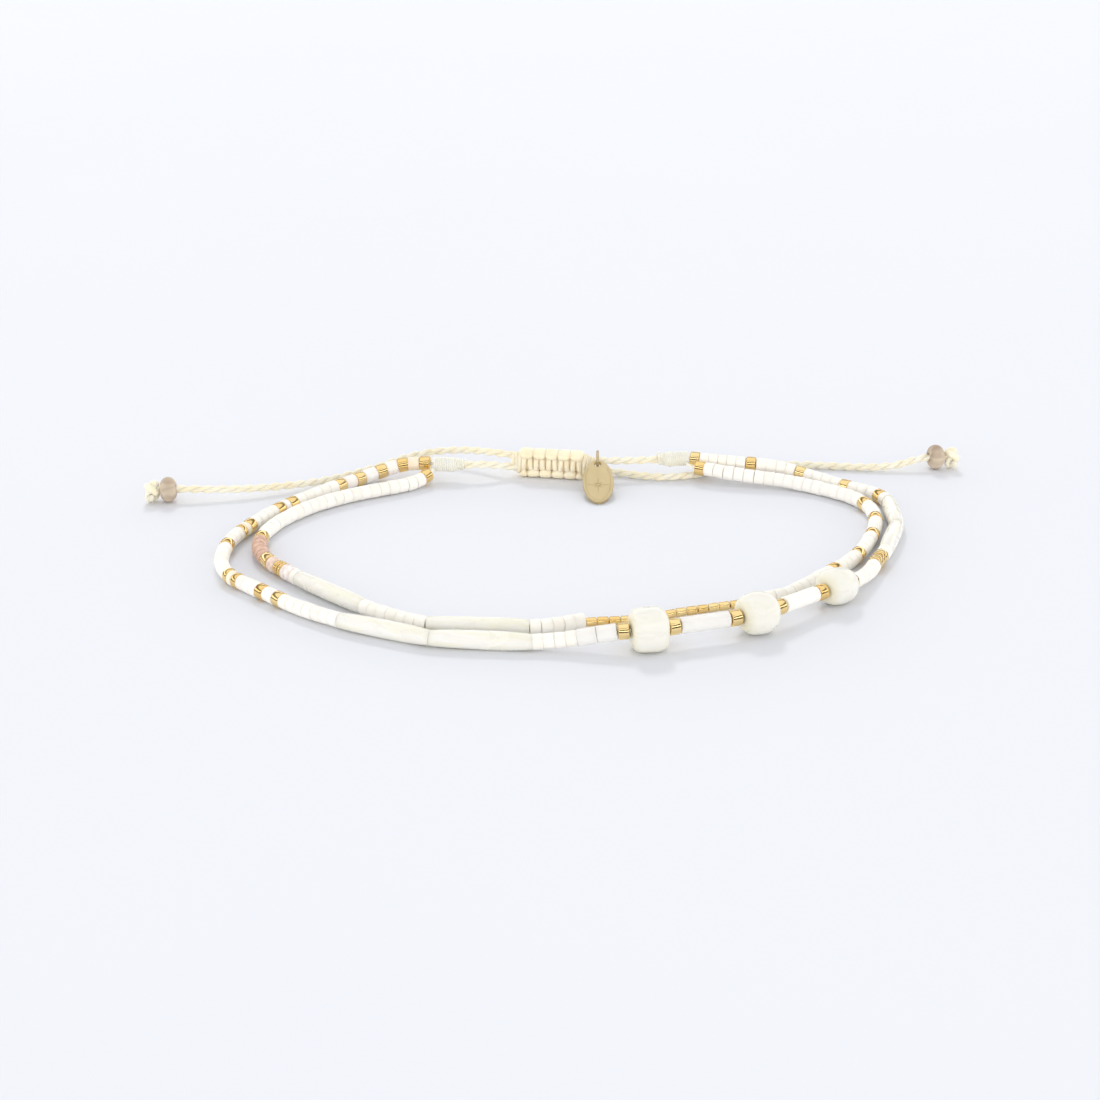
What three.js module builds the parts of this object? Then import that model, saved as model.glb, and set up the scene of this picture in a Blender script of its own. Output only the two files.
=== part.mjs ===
// Two-strand beaded anklet with a knotted sliding clasp of waxed cord, as it lies on a table.
// Millimetres. The table is z = 0, the clasp is at the back (+Y), the nuggets are at the front (-Y).
// Both strands run from the left whipping round the front to the right whipping.

import * as THREE from 'three';

// Driving sizes

const GAP = 0.3;            // between pieces that meet
const BEAD_GAP = 0.2;       // between the faces of neighbouring beads
const THREAD = 0.5;         // diameter of the thread inside the beads
const BORE = THREAD + 2 * GAP;

const SEED = { diameter: 2.0, pitch: 1.5, waist: 0.8 };
const GOLD = { diameter: 2.1, length: 1.4, edge: 0.2 };
const SPACER = { length: 0.8 };
const TINTED = { diameter: 2.05, length: 1.6 };
const SLIM_TINTED = { length: 0.9 };
const LONG_TINTED = { length: 2.0 };
const ROSE = { diameter: 2.1, length: 1.1 };
const CLEAR = { diameter: 2.2, length: 2.3 };
const SHELL = { diameter: 2.4, length: 12.6, tip: 1.5 };
const SIDE_SHELL = { length: 9.0 };
const TUBE = { diameter: 2.1, length: 6.4 };
const WHITE_TUBE = { length: 6.0 };
const NUGGETS = {
  nugget_1: { length: 4.6, width: 5.0, height: 5.4, squareness: 3.0 },
  nugget_2: { length: 4.8, width: 5.5, height: 5.2, squareness: 2.6 },
  nugget_3: { length: 4.8, width: 4.8, height: 4.7, squareness: 2.5 },
};
// The gold chain's thread carries it a little above the table, between the white beads at its ends
const CHAIN = { diameter: 1.16, pitch: 1.5, waist: 0.62, height: 0.8 };

const CORD = 1.15;
const WHIPPING = { diameter: 2.1, round: 0.4 };
const MACRAME = { length: 9.6, height: 4.3, thickness: 2.3, knots: 5, notch: 0.16 };
const END_BEAD = { diameter: 3.65, length: 2.2, edge: 0.7 };
const KNOT = { diameter: 3.4, length: 2.1, lobe: 0.16 };
const RING = { wire: 0.44, slack: 0.2, outer: 3.44 };
const TAG = { length: 9.7, width: 4.5, thickness: 0.5, hole: 1.0, rim: 0.45 };

// Bare thread before the first bead, next to the whippings and to the gold chain
const BARE = { outer: 0.3, inner_left: 1.2, inner_right: 1.6, chain: 0.1 };

const SIDES = 10;
const CHAIN_SIDES = 8;
const FINE_SIDES = 12;
const CORD_SIDES = 8;

// Heights of a strand's centre line

const ON_TABLE = Math.max(SEED.diameter, GOLD.diameter, TINTED.diameter, ROSE.diameter, CLEAR.diameter) / 2;
const IN_NUGGET = NUGGETS.nugget_1.height / 2;
const OVER_CORD = CORD + GAP + SEED.diameter / 2;

const table = (x, y) => new THREE.Vector3(x, y, ON_TABLE);
const byShell = (x, y) => new THREE.Vector3(x, y, Math.max(ON_TABLE, SHELL.diameter / 2));
const byNugget = (x, y, share) => new THREE.Vector3(x, y, THREE.MathUtils.lerp(ON_TABLE, IN_NUGGET, share));
const byClasp = (x, y, share) => new THREE.Vector3(x, y, THREE.MathUtils.lerp(ON_TABLE, OVER_CORD, share));
const at = (x, y, z) => new THREE.Vector3(x, y, z);

// Routes, chosen by hand: the strands, and the cords of the clasp

const ROUTES = {
  outer: [
    byClasp(-16.9, 27.0, 1), byClasp(-21.4, 27.4, 0.75), byClasp(-24.6, 26.4, 0.3), table(-27.7, 24.3),
    table(-30.6, 21.4), table(-33.9, 17.8), table(-36.8, 14.2), table(-39.3, 10.6), table(-41.6, 6.2),
    table(-43.4, 1.6), table(-44.1, -3.2), table(-43.7, -7.8), table(-42.0, -11.6), table(-39.4, -14.4),
    table(-36.3, -17.4), table(-32.0, -21.4), byShell(-25.2, -26.2), byShell(-18.7, -29.3), byShell(-14.0, -30.9),
    byShell(-8.5, -31.7), byShell(-2.1, -31.8), byNugget(3.3, -31.8, 0.4), byNugget(6.2, -31.9, 0.75),
    byNugget(9.1, -31.9, 1), byNugget(12.4, -31.5, 1), byNugget(15.8, -30.4, 1), byNugget(19.6, -29.2, 1),
    byNugget(23.4, -27.9, 1), byNugget(26.3, -26.5, 1), byNugget(29.3, -24.4, 1), byNugget(31.9, -21.8, 0.95),
    byNugget(34.5, -19.8, 0.85), byNugget(37.0, -17.7, 0.78), byNugget(39.7, -14.7, 0.5), byNugget(41.9, -11.0, 0.15),
    table(43.8, -6.4), byShell(46.0, -1.6), byShell(47.9, 4.4), byShell(48.7, 10.0), byShell(48.4, 14.4),
    table(46.9, 17.8), table(44.5, 19.8), table(41.5, 22.1), byClasp(37.9, 24.8, 0.2), byClasp(33.9, 26.2, 0.7),
    byClasp(30.0, 26.8, 0.95), byClasp(25.9, 27.6, 1), byClasp(22.6, 28.3, 1.05), byClasp(20.0, 28.9, 1.1),
  ],
  inner: [
    byClasp(-16.9, 26.2, 0.7), byClasp(-17.9, 24.7, 0.3), table(-19.8, 22.7), table(-23.2, 20.5),
    table(-27.4, 18.3), table(-31.5, 15.4), table(-35.2, 11.6), table(-38.0, 7.0), table(-39.4, 2.6),
    table(-39.4, -2.2), table(-37.7, -6.3), table(-35.2, -9.6), byShell(-32.0, -13.5), byShell(-28.4, -17.4),
    byShell(-23.6, -21.5), table(-18.9, -24.7), byShell(-14.6, -26.9), byShell(-8.7, -27.9), byShell(-2.6, -27.6),
    table(1.4, -26.5), table(4.6, -25.2), table(9.5, -24.6), table(12.9, -23.8), table(16.0, -22.4),
    table(19.8, -21.1), table(23.7, -19.8), table(27.0, -18.9), table(30.4, -17.4), table(33.9, -13.8),
    table(36.9, -10.3), table(39.3, -7.6), table(41.9, -3.4), table(44.4, 2.9), table(45.6, 8.6),
    table(45.2, 13.2), table(43.6, 16.4), table(40.9, 19.0), table(37.6, 21.3), byClasp(33.6, 22.9, 0.2),
    byClasp(29.2, 23.8, 0.4), byClasp(25.2, 24.9, 0.6), byClasp(23.0, 25.8, 0.65), byClasp(20.9, 26.6, 0.7),
    byClasp(20.0, 27.8, 0.9),
  ],
  load_cord_a: [at(-12.3, 26.5, 2.4), at(-10.2, 26.7, 2.35), at(-7.6, 27.3, 2.0), at(-5.0, 28.0, 1.45)],
  load_cord_b: [at(5.5, 26.9, 3.0), at(7.0, 27.0, 2.85), at(11.5, 27.6, 2.65), at(15.7, 28.1, 2.6)],
  free_cord_a: [
    at(5.6, 27.6, 1.1), at(7.1, 28.2, 0.85), at(9.6, 28.1, 0.65), at(13.2, 26.8, 0.6), at(16.6, 26.1, 0.6),
    at(19.8, 26.6, 0.6), at(23.6, 28.3, 0.6), at(27.4, 29.9, 0.6), at(31.4, 30.9, 0.6), at(36.0, 31.3, 0.6),
    at(41.8, 30.8, 0.6), at(47.6, 30.1, 0.65), at(51.2, 30.1, 0.9), at(54.2, 30.6, 1.5), at(56.2, 31.0, 1.83),
    at(58.9, 31.5, 1.83),
  ],
  free_cord_b: [
    at(-5.0, 28.8, 2.95), at(-7.5, 30.0, 2.9), at(-11.0, 31.9, 2.6), at(-14.5, 33.1, 2.2), at(-18.0, 33.6, 1.7),
    at(-21.6, 33.0, 1.1), at(-24.8, 31.0, 0.7), at(-28.6, 27.9, 0.6), at(-32.6, 24.9, 0.65), at(-37.2, 22.0, 1.0),
    at(-43.2, 19.7, 1.3), at(-49.0, 18.6, 1.6), at(-53.4, 18.1, 1.83), at(-56.2, 17.8, 1.83),
  ],
};

// Order of the beads on each strand: a group starts with its middle at a share of the strand's length.
// A group marked row is one fused piece. White seed beads fill the strand between the groups.

const OUTER_GROUPS = [
  { name: 'accent_run', middle: 0.037, row: true,
    beads: ['gold', 'tinted', 'gold', 'tinted', 'gold', 'long_tinted', 'gold', 'long_tinted', 'gold'] },
  { name: 'accent_pair_1', middle: 0.124, row: true, beads: ['gold', 'slim_tinted', 'gold'] },
  { name: 'accent_pair_2', middle: 0.169, row: true, beads: ['gold', 'slim_tinted', 'spacer'] },
  { name: 'gold_bead_1', middle: 0.199, beads: ['gold'] },
  { name: 'accent_pair_3', middle: 0.254, row: true, beads: ['spacer', 'slim_tinted', 'spacer'] },
  { name: 'gold_bead_2', middle: 0.283, beads: ['gold'] },
  { name: 'gold_bead_3', middle: 0.299, beads: ['gold'] },
  { name: 'long', middle: 0.41, beads: ['shell', 'shell'] },
  { name: 'front', middle: 0.5955, beads: [
    'clear', 'clear', 'gold', 'nugget_1', 'gold', 'tube', 'gold', 'nugget_2', 'gold', 'white_tube', 'gold',
    'nugget_3', 'spacer'] },
  { name: 'gold_stack', middle: 0.7399, row: true, beads: ['spacer', 'spacer', 'spacer', 'spacer'] },
  { name: 'side_shells', middle: 0.802, beads: ['side_shell', 'side_shell'] },
  { name: 'gold_bead_4', middle: 0.856, beads: ['gold'] },
  { name: 'gold_bead_5', middle: 0.885, beads: ['gold'] },
  { name: 'gold_bead_6', middle: 0.921, beads: ['gold'] },
  { name: 'gold_bead_7', middle: 0.956, beads: ['gold'] },
  { name: 'gold_bead_8', middle: 0.9955, beads: ['gold'] },
];

const INNER_LEFT_GROUPS = [
  { name: 'inner_gold_1', middle: 0.01, beads: ['gold'] },
  { name: 'rose_run', middle: 0.442, row: true,
    beads: ['gold', 'rose', 'rose', 'rose', 'rose', 'rose', 'gold', 'tinted', 'gold', 'clear'] },
  { name: 'shell_1', middle: 0.606, beads: ['shell'] },
  { name: 'shell_2', middle: 0.855, beads: ['shell'] },
];

const INNER_RIGHT_GROUPS = [
  { name: 'inner_gold_2', middle: 0.219, beads: ['gold'] },
  { name: 'inner_gold_3', middle: 0.316, beads: ['gold'] },
  { name: 'inner_gold_4', middle: 0.423, beads: ['gold'] },
  { name: 'inner_gold_5', middle: 0.51, beads: ['gold'] },
  { name: 'inner_gold_6', middle: 0.596, beads: ['gold'] },
  { name: 'inner_gold_7', middle: 0.986, beads: ['gold'] },
];

// The inner strand is a beaded string, the gold chain, and a beaded string again, as shares of its length
const CHAIN_SHARE = { from: 0.501, to: 0.622 };

// Kinds of bead, by name

const BEADS = {
  gold: { length: GOLD.length, diameter: GOLD.diameter },
  spacer: { length: SPACER.length, diameter: GOLD.diameter },
  tinted: { length: TINTED.length, diameter: TINTED.diameter },
  slim_tinted: { length: SLIM_TINTED.length, diameter: TINTED.diameter },
  long_tinted: { length: LONG_TINTED.length, diameter: TINTED.diameter },
  rose: { length: ROSE.length, diameter: ROSE.diameter },
  clear: { length: CLEAR.length, diameter: CLEAR.diameter },
  shell: { length: SHELL.length, diameter: SHELL.diameter },
  side_shell: { length: SIDE_SHELL.length, diameter: SHELL.diameter },
  tube: { length: TUBE.length, diameter: TUBE.diameter },
  white_tube: { length: WHITE_TUBE.length, diameter: SEED.diameter },
  nugget_1: { length: NUGGETS.nugget_1.length, diameter: NUGGETS.nugget_1.height },
  nugget_2: { length: NUGGETS.nugget_2.length, diameter: NUGGETS.nugget_2.height },
  nugget_3: { length: NUGGETS.nugget_3.length, diameter: NUGGETS.nugget_3.height },
};

// Materials

const finish = (color, roughness, metalness) => new THREE.MeshStandardMaterial({ color, roughness, metalness });
const MATERIALS = {
  white: finish('#f4f2ec', 0.45, 0),
  gold: finish('#e0bd6e', 0.25, 0.9),
  tag_gold: finish('#cfb886', 0.35, 0.9),
  shell: finish('#f2efdf', 0.3, 0),
  clear: finish('#efe4d8', 0.15, 0),
  rose: finish('#cfae98', 0.35, 0),
  cord: finish('#ecdfbd', 0.7, 0),
  taupe: finish('#b9a08f', 0.5, 0),
};

// Skins over rings of points

const UP = new THREE.Vector3(0, 0, 1);

// The two directions across a path: to its left, and upwards
function across(along) {
  const left = new THREE.Vector3().crossVectors(UP, along).normalize();
  const up = new THREE.Vector3().crossVectors(along, left).normalize();
  return { left, up };
}

// A ring round the path: radius is a number, or a function of the angle that gives [left, up]
function ring(centre, along, radius, sides) {
  const { left, up } = across(along);
  const points = [];
  for (let k = 0; k < sides; k++) {
    const angle = -Math.PI / 2 + (2 * Math.PI * k) / sides;
    const [l, u] = typeof radius === 'number'
      ? [radius * Math.cos(angle), radius * Math.sin(angle)]
      : radius(angle);
    points.push(centre.clone().addScaledVector(left, l).addScaledVector(up, u));
  }
  return points;
}

// A closed skin through the rings: capped at both ends, or joined back to its first ring
function skin(rings, joined) {
  const sides = rings[0].length;
  const indices = [];
  const spans = joined ? rings.length : rings.length - 1;
  for (let i = 0; i < spans; i++) {
    const here = i * sides;
    const next = ((i + 1) % rings.length) * sides;
    for (let k = 0; k < sides; k++) {
      const l = (k + 1) % sides;
      indices.push(here + k, here + l, next + k);
      indices.push(here + l, next + l, next + k);
    }
  }
  if (!joined) {
    const last = (rings.length - 1) * sides;
    for (let k = 1; k < sides - 1; k++) {
      indices.push(0, k + 1, k);
      indices.push(last, last + k, last + k + 1);
    }
  }
  const geometry = new THREE.BufferGeometry();
  geometry.setFromPoints(rings.flat());
  geometry.setIndex(indices);
  geometry.computeVertexNormals();
  return geometry;
}

// Turns a geometry made along Y to run along X, from x = 0 at its middle
function alongX(geometry) {
  return geometry.rotateZ(-Math.PI / 2);
}

// Puts a mesh whose axis is X between two points, with its top as upright as it can be
function placeBetween(mesh, from, to) {
  const along = new THREE.Vector3().subVectors(to, from).normalize();
  const { left, up } = across(along);
  mesh.quaternion.setFromRotationMatrix(new THREE.Matrix4().makeBasis(along, left, up));
  mesh.position.addVectors(from, to).multiplyScalar(0.5);
  return mesh;
}

function named(name, geometry, material) {
  const mesh = new THREE.Mesh(geometry, material);
  mesh.name = name;
  return mesh;
}

// A strand's path: it follows its route, and runs straight through every stiff bead

class StrandPath {
  constructor(points) {
    this.curve = new THREE.CatmullRomCurve3(points, false, 'centripetal');
    this.curve.arcLengthDivisions = 1000;
    this.length = this.curve.getLength();
    this.stiff = [];
  }

  onCurve(run, height = ON_TABLE) {
    const point = this.curve.getPointAt(THREE.MathUtils.clamp(run / this.length, 0, 1));
    point.z = Math.max(point.z, height);
    return point;
  }

  ends(bead) {
    const height = BEADS[bead.kind].diameter / 2;
    return [this.onCurve(bead.from, height), this.onCurve(bead.to, height)];
  }

  point(run) {
    const bead = this.stiff.find((b) => run > b.from && run < b.to);
    if (!bead) return this.onCurve(run);
    const [from, to] = this.ends(bead);
    return from.lerp(to, (run - bead.from) / (bead.to - bead.from));
  }

  // Next to a stiff bead the string already points the bead's way, so that their faces stay parallel
  along(run) {
    const near = 2 * BEAD_GAP;
    const bead = this.stiff.find((b) => run > b.from - near && run < b.to + near);
    if (bead) {
      const [from, to] = this.ends(bead);
      return to.sub(from).normalize();
    }
    const step = 0.05;
    return new THREE.Vector3().subVectors(this.point(run + step), this.point(run - step)).normalize();
  }
}

// Strings the groups on the stretch from start to end. It gives the beads, the rows and the runs of seeds
function stringUp(path, groups, start, end) {
  const beads = [];
  const rows = [];
  const seeds = [];
  let cursor = start;
  for (const group of groups) {
    const sizes = group.beads.map((kind) => BEADS[kind].length);
    const total = sizes.reduce((sum, size) => sum + size, 0) + BEAD_GAP * (sizes.length - 1);
    const middle = THREE.MathUtils.lerp(start, end, group.middle);
    const from = Math.max(middle - total / 2, cursor + BEAD_GAP);
    seeds.push({ from: cursor, to: from - BEAD_GAP });
    let run = from;
    const placed = group.beads.map((kind, i) => {
      const bead = { kind, from: run, to: run + sizes[i], group: group.name };
      run = bead.to + BEAD_GAP;
      return bead;
    });
    cursor = run;
    if (group.row) {
      rows.push({ name: group.name, beads: placed });
    } else {
      beads.push(...placed);
      path.stiff.push(...placed);
    }
  }
  seeds.push({ from: cursor, to: end });
  return { beads, rows, seeds: seeds.filter((run) => run.to - run.from > SEED.pitch / 2) };
}

// Strand body: the thread, thickened to white seed beads wherever it isn't inside a drilled bead

function stringBody(path, strung, start, end) {
  const thread = THREAD / 2;
  const full = SEED.diameter / 2;
  const waist = full * SEED.waist;
  const stations = [{ run: start, radius: thread }, { run: end, radius: thread }];
  for (const { from, to } of strung.seeds) {
    const count = Math.max(1, Math.round((to - from) / SEED.pitch));
    const pitch = (to - from) / count;
    if (from > start) stations.push({ run: from, radius: thread });
    for (let i = 0; i < count; i++) {
      stations.push({ run: from + pitch * i, radius: waist });
      stations.push({ run: from + pitch * (i + 0.5), radius: full });
    }
    stations.push({ run: to, radius: waist });
    if (to < end) stations.push({ run: to, radius: thread });
  }
  const drilled = [...strung.beads, ...strung.rows.flatMap((row) => row.beads)];
  const inSeeds = (run) => strung.seeds.some(({ from, to }) => run > from - BEAD_GAP && run < to + BEAD_GAP);
  for (const bead of drilled) {
    const run = bead.from - BEAD_GAP / 2;
    if (run > start && !inSeeds(run)) stations.push({ run, radius: thread });
  }
  stations.sort((a, b) => a.run - b.run);
  const rings = stations.map((s) => ring(path.point(s.run), path.along(s.run), s.radius, SIDES));
  return skin(rings, false);
}

// Drilled beads

// Turned round its bore: a profile of [radius, place along the axis], closed on itself
function turned(profile, sides) {
  const points = [...profile, profile[0]].map(([r, y]) => new THREE.Vector2(r, y));
  return alongX(new THREE.LatheGeometry(points, sides));
}

function tubeBead(length, diameter) {
  const h = length / 2;
  return turned([[BORE / 2, -h], [diameter / 2, -h], [diameter / 2, h], [BORE / 2, h]], SIDES);
}

// A long rice-shaped shell bead: full in the middle, drawn in at its drilled ends
function shellBead(length) {
  const r = SHELL.diameter / 2;
  const tip = SHELL.tip / 2;
  const h = length / 2;
  const shares = [[-1, 0], [-0.72, 0.75], [0, 1], [0.72, 0.75], [1, 0]];
  const outer = shares.map(([along, swell]) => [THREE.MathUtils.lerp(tip, r, swell), along * h]);
  return turned([[BORE / 2, -h], ...outer, [BORE / 2, h]], SIDES);
}

// A tumbled nugget: a drilled pebble with a squarish section and flattened ends
function nuggetBead({ length, width, height, squareness }) {
  const axis = new THREE.Vector3(1, 0, 0);
  const h = length / 2;
  const shares = [[-1, 0.62], [-0.82, 0.84], [-0.45, 0.98], [0, 1], [0.45, 0.97], [0.82, 0.82], [1, 0.6]];
  const section = (swell) => (angle) => {
    const c = Math.cos(angle);
    const s = Math.sin(angle);
    const round = (Math.abs(c) ** squareness + Math.abs(s) ** squareness) ** (-1 / squareness);
    return [swell * round * c * (width / 2), swell * round * s * (height / 2)];
  };
  const outer = shares.map(([along, swell]) => ring(at(along * h, 0, 0), axis, section(swell), FINE_SIDES));
  const inner = [h, -h].map((x) => ring(at(x, 0, 0), axis, BORE / 2, FINE_SIDES));
  return skin([...outer, ...inner], true);
}

const BEAD_SHAPES = {
  shell: () => shellBead(SHELL.length),
  side_shell: () => shellBead(SIDE_SHELL.length),
  nugget_1: () => nuggetBead(NUGGETS.nugget_1),
  nugget_2: () => nuggetBead(NUGGETS.nugget_2),
  nugget_3: () => nuggetBead(NUGGETS.nugget_3),
};
const BEAD_MATERIALS = {
  gold: MATERIALS.gold, spacer: MATERIALS.gold, clear: MATERIALS.clear, tube: MATERIALS.clear,
  white_tube: MATERIALS.white,
};

function drilledBead(path, bead, name) {
  const { length, diameter } = BEADS[bead.kind];
  const make = BEAD_SHAPES[bead.kind] ?? (() => tubeBead(length, diameter));
  const material = BEAD_MATERIALS[bead.kind] ?? MATERIALS.shell;
  return placeBetween(named(name, make(), material), ...path.ends(bead));
}

// A fused row of short beads with one bore, which follows the strand
function beadRow(path, row, material) {
  const start = row.beads[0].from;
  const end = row.beads.at(-1).to;
  const seams = row.beads.slice(1).map((bead) => bead.from - BEAD_GAP / 2);
  const station = (run, radius) => ring(path.point(run), path.along(run), radius, SIDES);
  const rings = [];
  for (const [i, bead] of row.beads.entries()) {
    const r = BEADS[bead.kind].diameter / 2;
    const inset = Math.min(GOLD.edge, (bead.to - bead.from) / 4);
    rings.push(station(i === 0 ? start : seams[i - 1], r - inset));
    rings.push(station(bead.from + inset, r), station(bead.to - inset, r));
  }
  rings.push(station(end, BEADS[row.beads.at(-1).kind].diameter / 2 - GOLD.edge));
  const inside = seams.filter((_, i) => i % 2 === 0).reverse();
  for (const run of [end, ...inside, start]) rings.push(station(run, BORE / 2));
  return named(row.name, skin(rings, true), material);
}

// The run of tiny gold beads, one solid
function goldChain(path, from, to) {
  const full = CHAIN.diameter / 2;
  const count = Math.max(2, Math.round((to - from) / CHAIN.pitch));
  const pitch = (to - from) / count;
  const sink = at(0, 0, CHAIN.height - ON_TABLE);
  const rings = [];
  for (let i = 0; i <= count; i++) {
    const run = from + pitch * i;
    rings.push(ring(path.point(run).add(sink), path.along(run), full * CHAIN.waist, CHAIN_SIDES));
    if (i < count) {
      const middle = run + pitch / 2;
      rings.push(ring(path.point(middle).add(sink), path.along(middle), full, CHAIN_SIDES));
    }
  }
  return skin(rings, false);
}

// Clasp

function whipping(name, from, to) {
  const r = WHIPPING.diameter / 2;
  const h = from.distanceTo(to) / 2;
  const { round } = WHIPPING;
  const profile = [[0, -h], [r - round, -h], [r, -h + round], [r, h - round], [r - round, h], [0, h]];
  const geometry = new THREE.LatheGeometry(profile.map(([x, y]) => new THREE.Vector2(x, y)), FINE_SIDES);
  return placeBetween(named(name, alongX(geometry), MATERIALS.cord), from, to);
}

// Square knots in a row: the upper and lower lobes bulge in turn
function macrame(from, to) {
  const axis = new THREE.Vector3(1, 0, 0);
  const steps = MACRAME.knots * 4;
  const length = from.distanceTo(to);
  const rings = [];
  for (let i = 0; i <= steps; i++) {
    const phase = (i / 4) * 2 * Math.PI;
    const end = i === 0 || i === steps ? 0.8 : 1;
    const upper = end * (1 - MACRAME.notch * (0.5 - 0.5 * Math.cos(phase)));
    const lower = end * (1 - MACRAME.notch * (0.5 + 0.5 * Math.cos(phase)));
    const section = (angle) => {
      const c = Math.cos(angle);
      const s = Math.sin(angle);
      const round = (Math.abs(c) ** 3 + Math.abs(s) ** 3) ** (-1 / 3);
      return [end * round * c * (MACRAME.thickness / 2), (s > 0 ? upper : lower) * round * s * (MACRAME.height / 2)];
    };
    rings.push(ring(at((i / steps - 0.5) * length, 0, 0), axis, section, FINE_SIDES));
  }
  return placeBetween(named('macrame', skin(rings, false), MATERIALS.cord), from, to);
}

function cordTube(name, points, stepLength) {
  const path = new THREE.CatmullRomCurve3(points, false, 'centripetal');
  const outline = new THREE.Shape();
  for (let k = 0; k < CORD_SIDES; k++) {
    const angle = (2 * Math.PI * (k + 0.5)) / CORD_SIDES;
    const [x, y] = [(CORD / 2) * Math.cos(angle), (CORD / 2) * Math.sin(angle)];
    if (k === 0) outline.moveTo(x, y);
    else outline.lineTo(x, y);
  }
  outline.closePath();
  const steps = Math.max(1, Math.round(path.getLength() / stepLength));
  const geometry = new THREE.ExtrudeGeometry(outline, { steps, extrudePath: path, bevelEnabled: false });
  return named(name, geometry, MATERIALS.cord);
}

// The last stretch of a free cord runs through its bead, and its knot droops to the table just past its end
function cordEnd(letter, points) {
  const [inner, tip] = points.slice(-2);
  const along = new THREE.Vector3().subVectors(tip, inner).normalize();
  const beadEnd = tip.clone().addScaledVector(along, -GAP / 2);
  const beadStart = beadEnd.clone().addScaledVector(along, -END_BEAD.length);
  const r = END_BEAD.diameter / 2;
  const h = END_BEAD.length / 2;
  const { edge } = END_BEAD;
  const bore = CORD / 2 + GAP;
  const profile = [[bore, -h], [r - edge, -h], [r, -h + edge], [r, h - edge], [r - edge, h], [bore, h]];
  const bead = named(`end_bead_${letter}`, turned(profile, FINE_SIDES), MATERIALS.taupe);

  const drop = 2 * (tip.z - KNOT.diameter / 2);
  const reach = Math.sqrt(KNOT.length ** 2 - drop ** 2);
  const knotStart = tip.clone().addScaledVector(along, 1.5 * GAP);
  const knotEnd = knotStart.clone().addScaledVector(along, reach).add(at(0, 0, -drop));
  return [placeBetween(bead, beadStart, beadEnd), endKnot(`end_knot_${letter}`, knotStart, knotEnd)];
}

// A pulled-tight overhand knot: three lobes that wind a third of a turn round the cord
function endKnot(name, from, to) {
  const axis = new THREE.Vector3(1, 0, 0);
  const shares = [[-1, 0.45], [-0.6, 0.86], [0, 1], [0.6, 0.84], [1, 0.4]];
  const rings = shares.map(([along, swell]) => {
    const section = (angle) => {
      const lobes = 1 - KNOT.lobe * (0.5 + 0.5 * Math.cos(3 * angle + along * 2));
      const r = swell * lobes * (KNOT.diameter / 2);
      return [r * Math.cos(angle), r * Math.sin(angle)];
    };
    return ring(at((along * KNOT.length) / 2, 0, 0), axis, section, FINE_SIDES);
  });
  return placeBetween(named(name, skin(rings, false), MATERIALS.cord), from, to);
}

// The jump ring stands round the load cord, and the tag hangs from its front and leans on the table
function tagOnRing(cordCentre) {
  const wire = RING.wire / 2;
  const mean = RING.outer / 2 - wire;
  const offset = mean - wire - RING.slack - CORD / 2;
  const ringCentre = cordCentre.clone().add(at(0, -offset, 0));
  const jumpRing = named('jump_ring', new THREE.TorusGeometry(mean, wire, 6, 16), MATERIALS.tag_gold);
  jumpRing.rotation.y = Math.PI / 2;
  jumpRing.position.copy(ringCentre);

  const holeDrop = TAG.rim + TAG.hole / 2;
  const lean = Math.asin((ringCentre.z - TAG.thickness / 2) / (TAG.length - holeDrop));
  const plate = new THREE.Shape();
  plate.absellipse(0, 0, TAG.width / 2, TAG.length / 2, 0, 2 * Math.PI);
  const hole = new THREE.Path();
  hole.absarc(0, TAG.length / 2 - holeDrop, TAG.hole / 2, 0, 2 * Math.PI, true);
  plate.holes.push(hole);
  const options = { depth: TAG.thickness, bevelEnabled: false, curveSegments: 12 };
  const geometry = new THREE.ExtrudeGeometry(plate, options).translate(0, 0, -TAG.thickness / 2);
  geometry.translate(0, holeDrop - TAG.length / 2, 0);
  const tag = named('tag', geometry, MATERIALS.tag_gold);
  tag.rotation.x = lean;
  tag.position.copy(ringCentre).add(at(0, -mean, 0));
  return [jumpRing, tag];
}

// Assembly

const anklet = new THREE.Group();

const outerPath = new StrandPath(ROUTES.outer);
const outerEnds = [GAP, outerPath.length - GAP];
const outer = stringUp(outerPath, OUTER_GROUPS, outerEnds[0] + BARE.outer, outerEnds[1] - BARE.outer);
anklet.add(named('outer_string', stringBody(outerPath, outer, ...outerEnds), MATERIALS.white));

const innerPath = new StrandPath(ROUTES.inner);
const [chainFrom, chainTo] = [CHAIN_SHARE.from, CHAIN_SHARE.to].map((share) => share * innerPath.length);
const leftEnds = [GAP, chainFrom - GAP];
const rightEnds = [chainTo + GAP, innerPath.length - GAP];
const leftBeads = [leftEnds[0] + BARE.inner_left, leftEnds[1] - BARE.chain];
const rightBeads = [rightEnds[0] + BARE.chain, rightEnds[1] - BARE.inner_right];
const innerLeft = stringUp(innerPath, INNER_LEFT_GROUPS, ...leftBeads);
const innerRight = stringUp(innerPath, INNER_RIGHT_GROUPS, ...rightBeads);
anklet.add(named('inner_string_left', stringBody(innerPath, innerLeft, ...leftEnds), MATERIALS.white));
anklet.add(named('inner_string_right', stringBody(innerPath, innerRight, ...rightEnds), MATERIALS.white));
anklet.add(named('gold_chain', goldChain(innerPath, chainFrom, chainTo), MATERIALS.gold));

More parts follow.
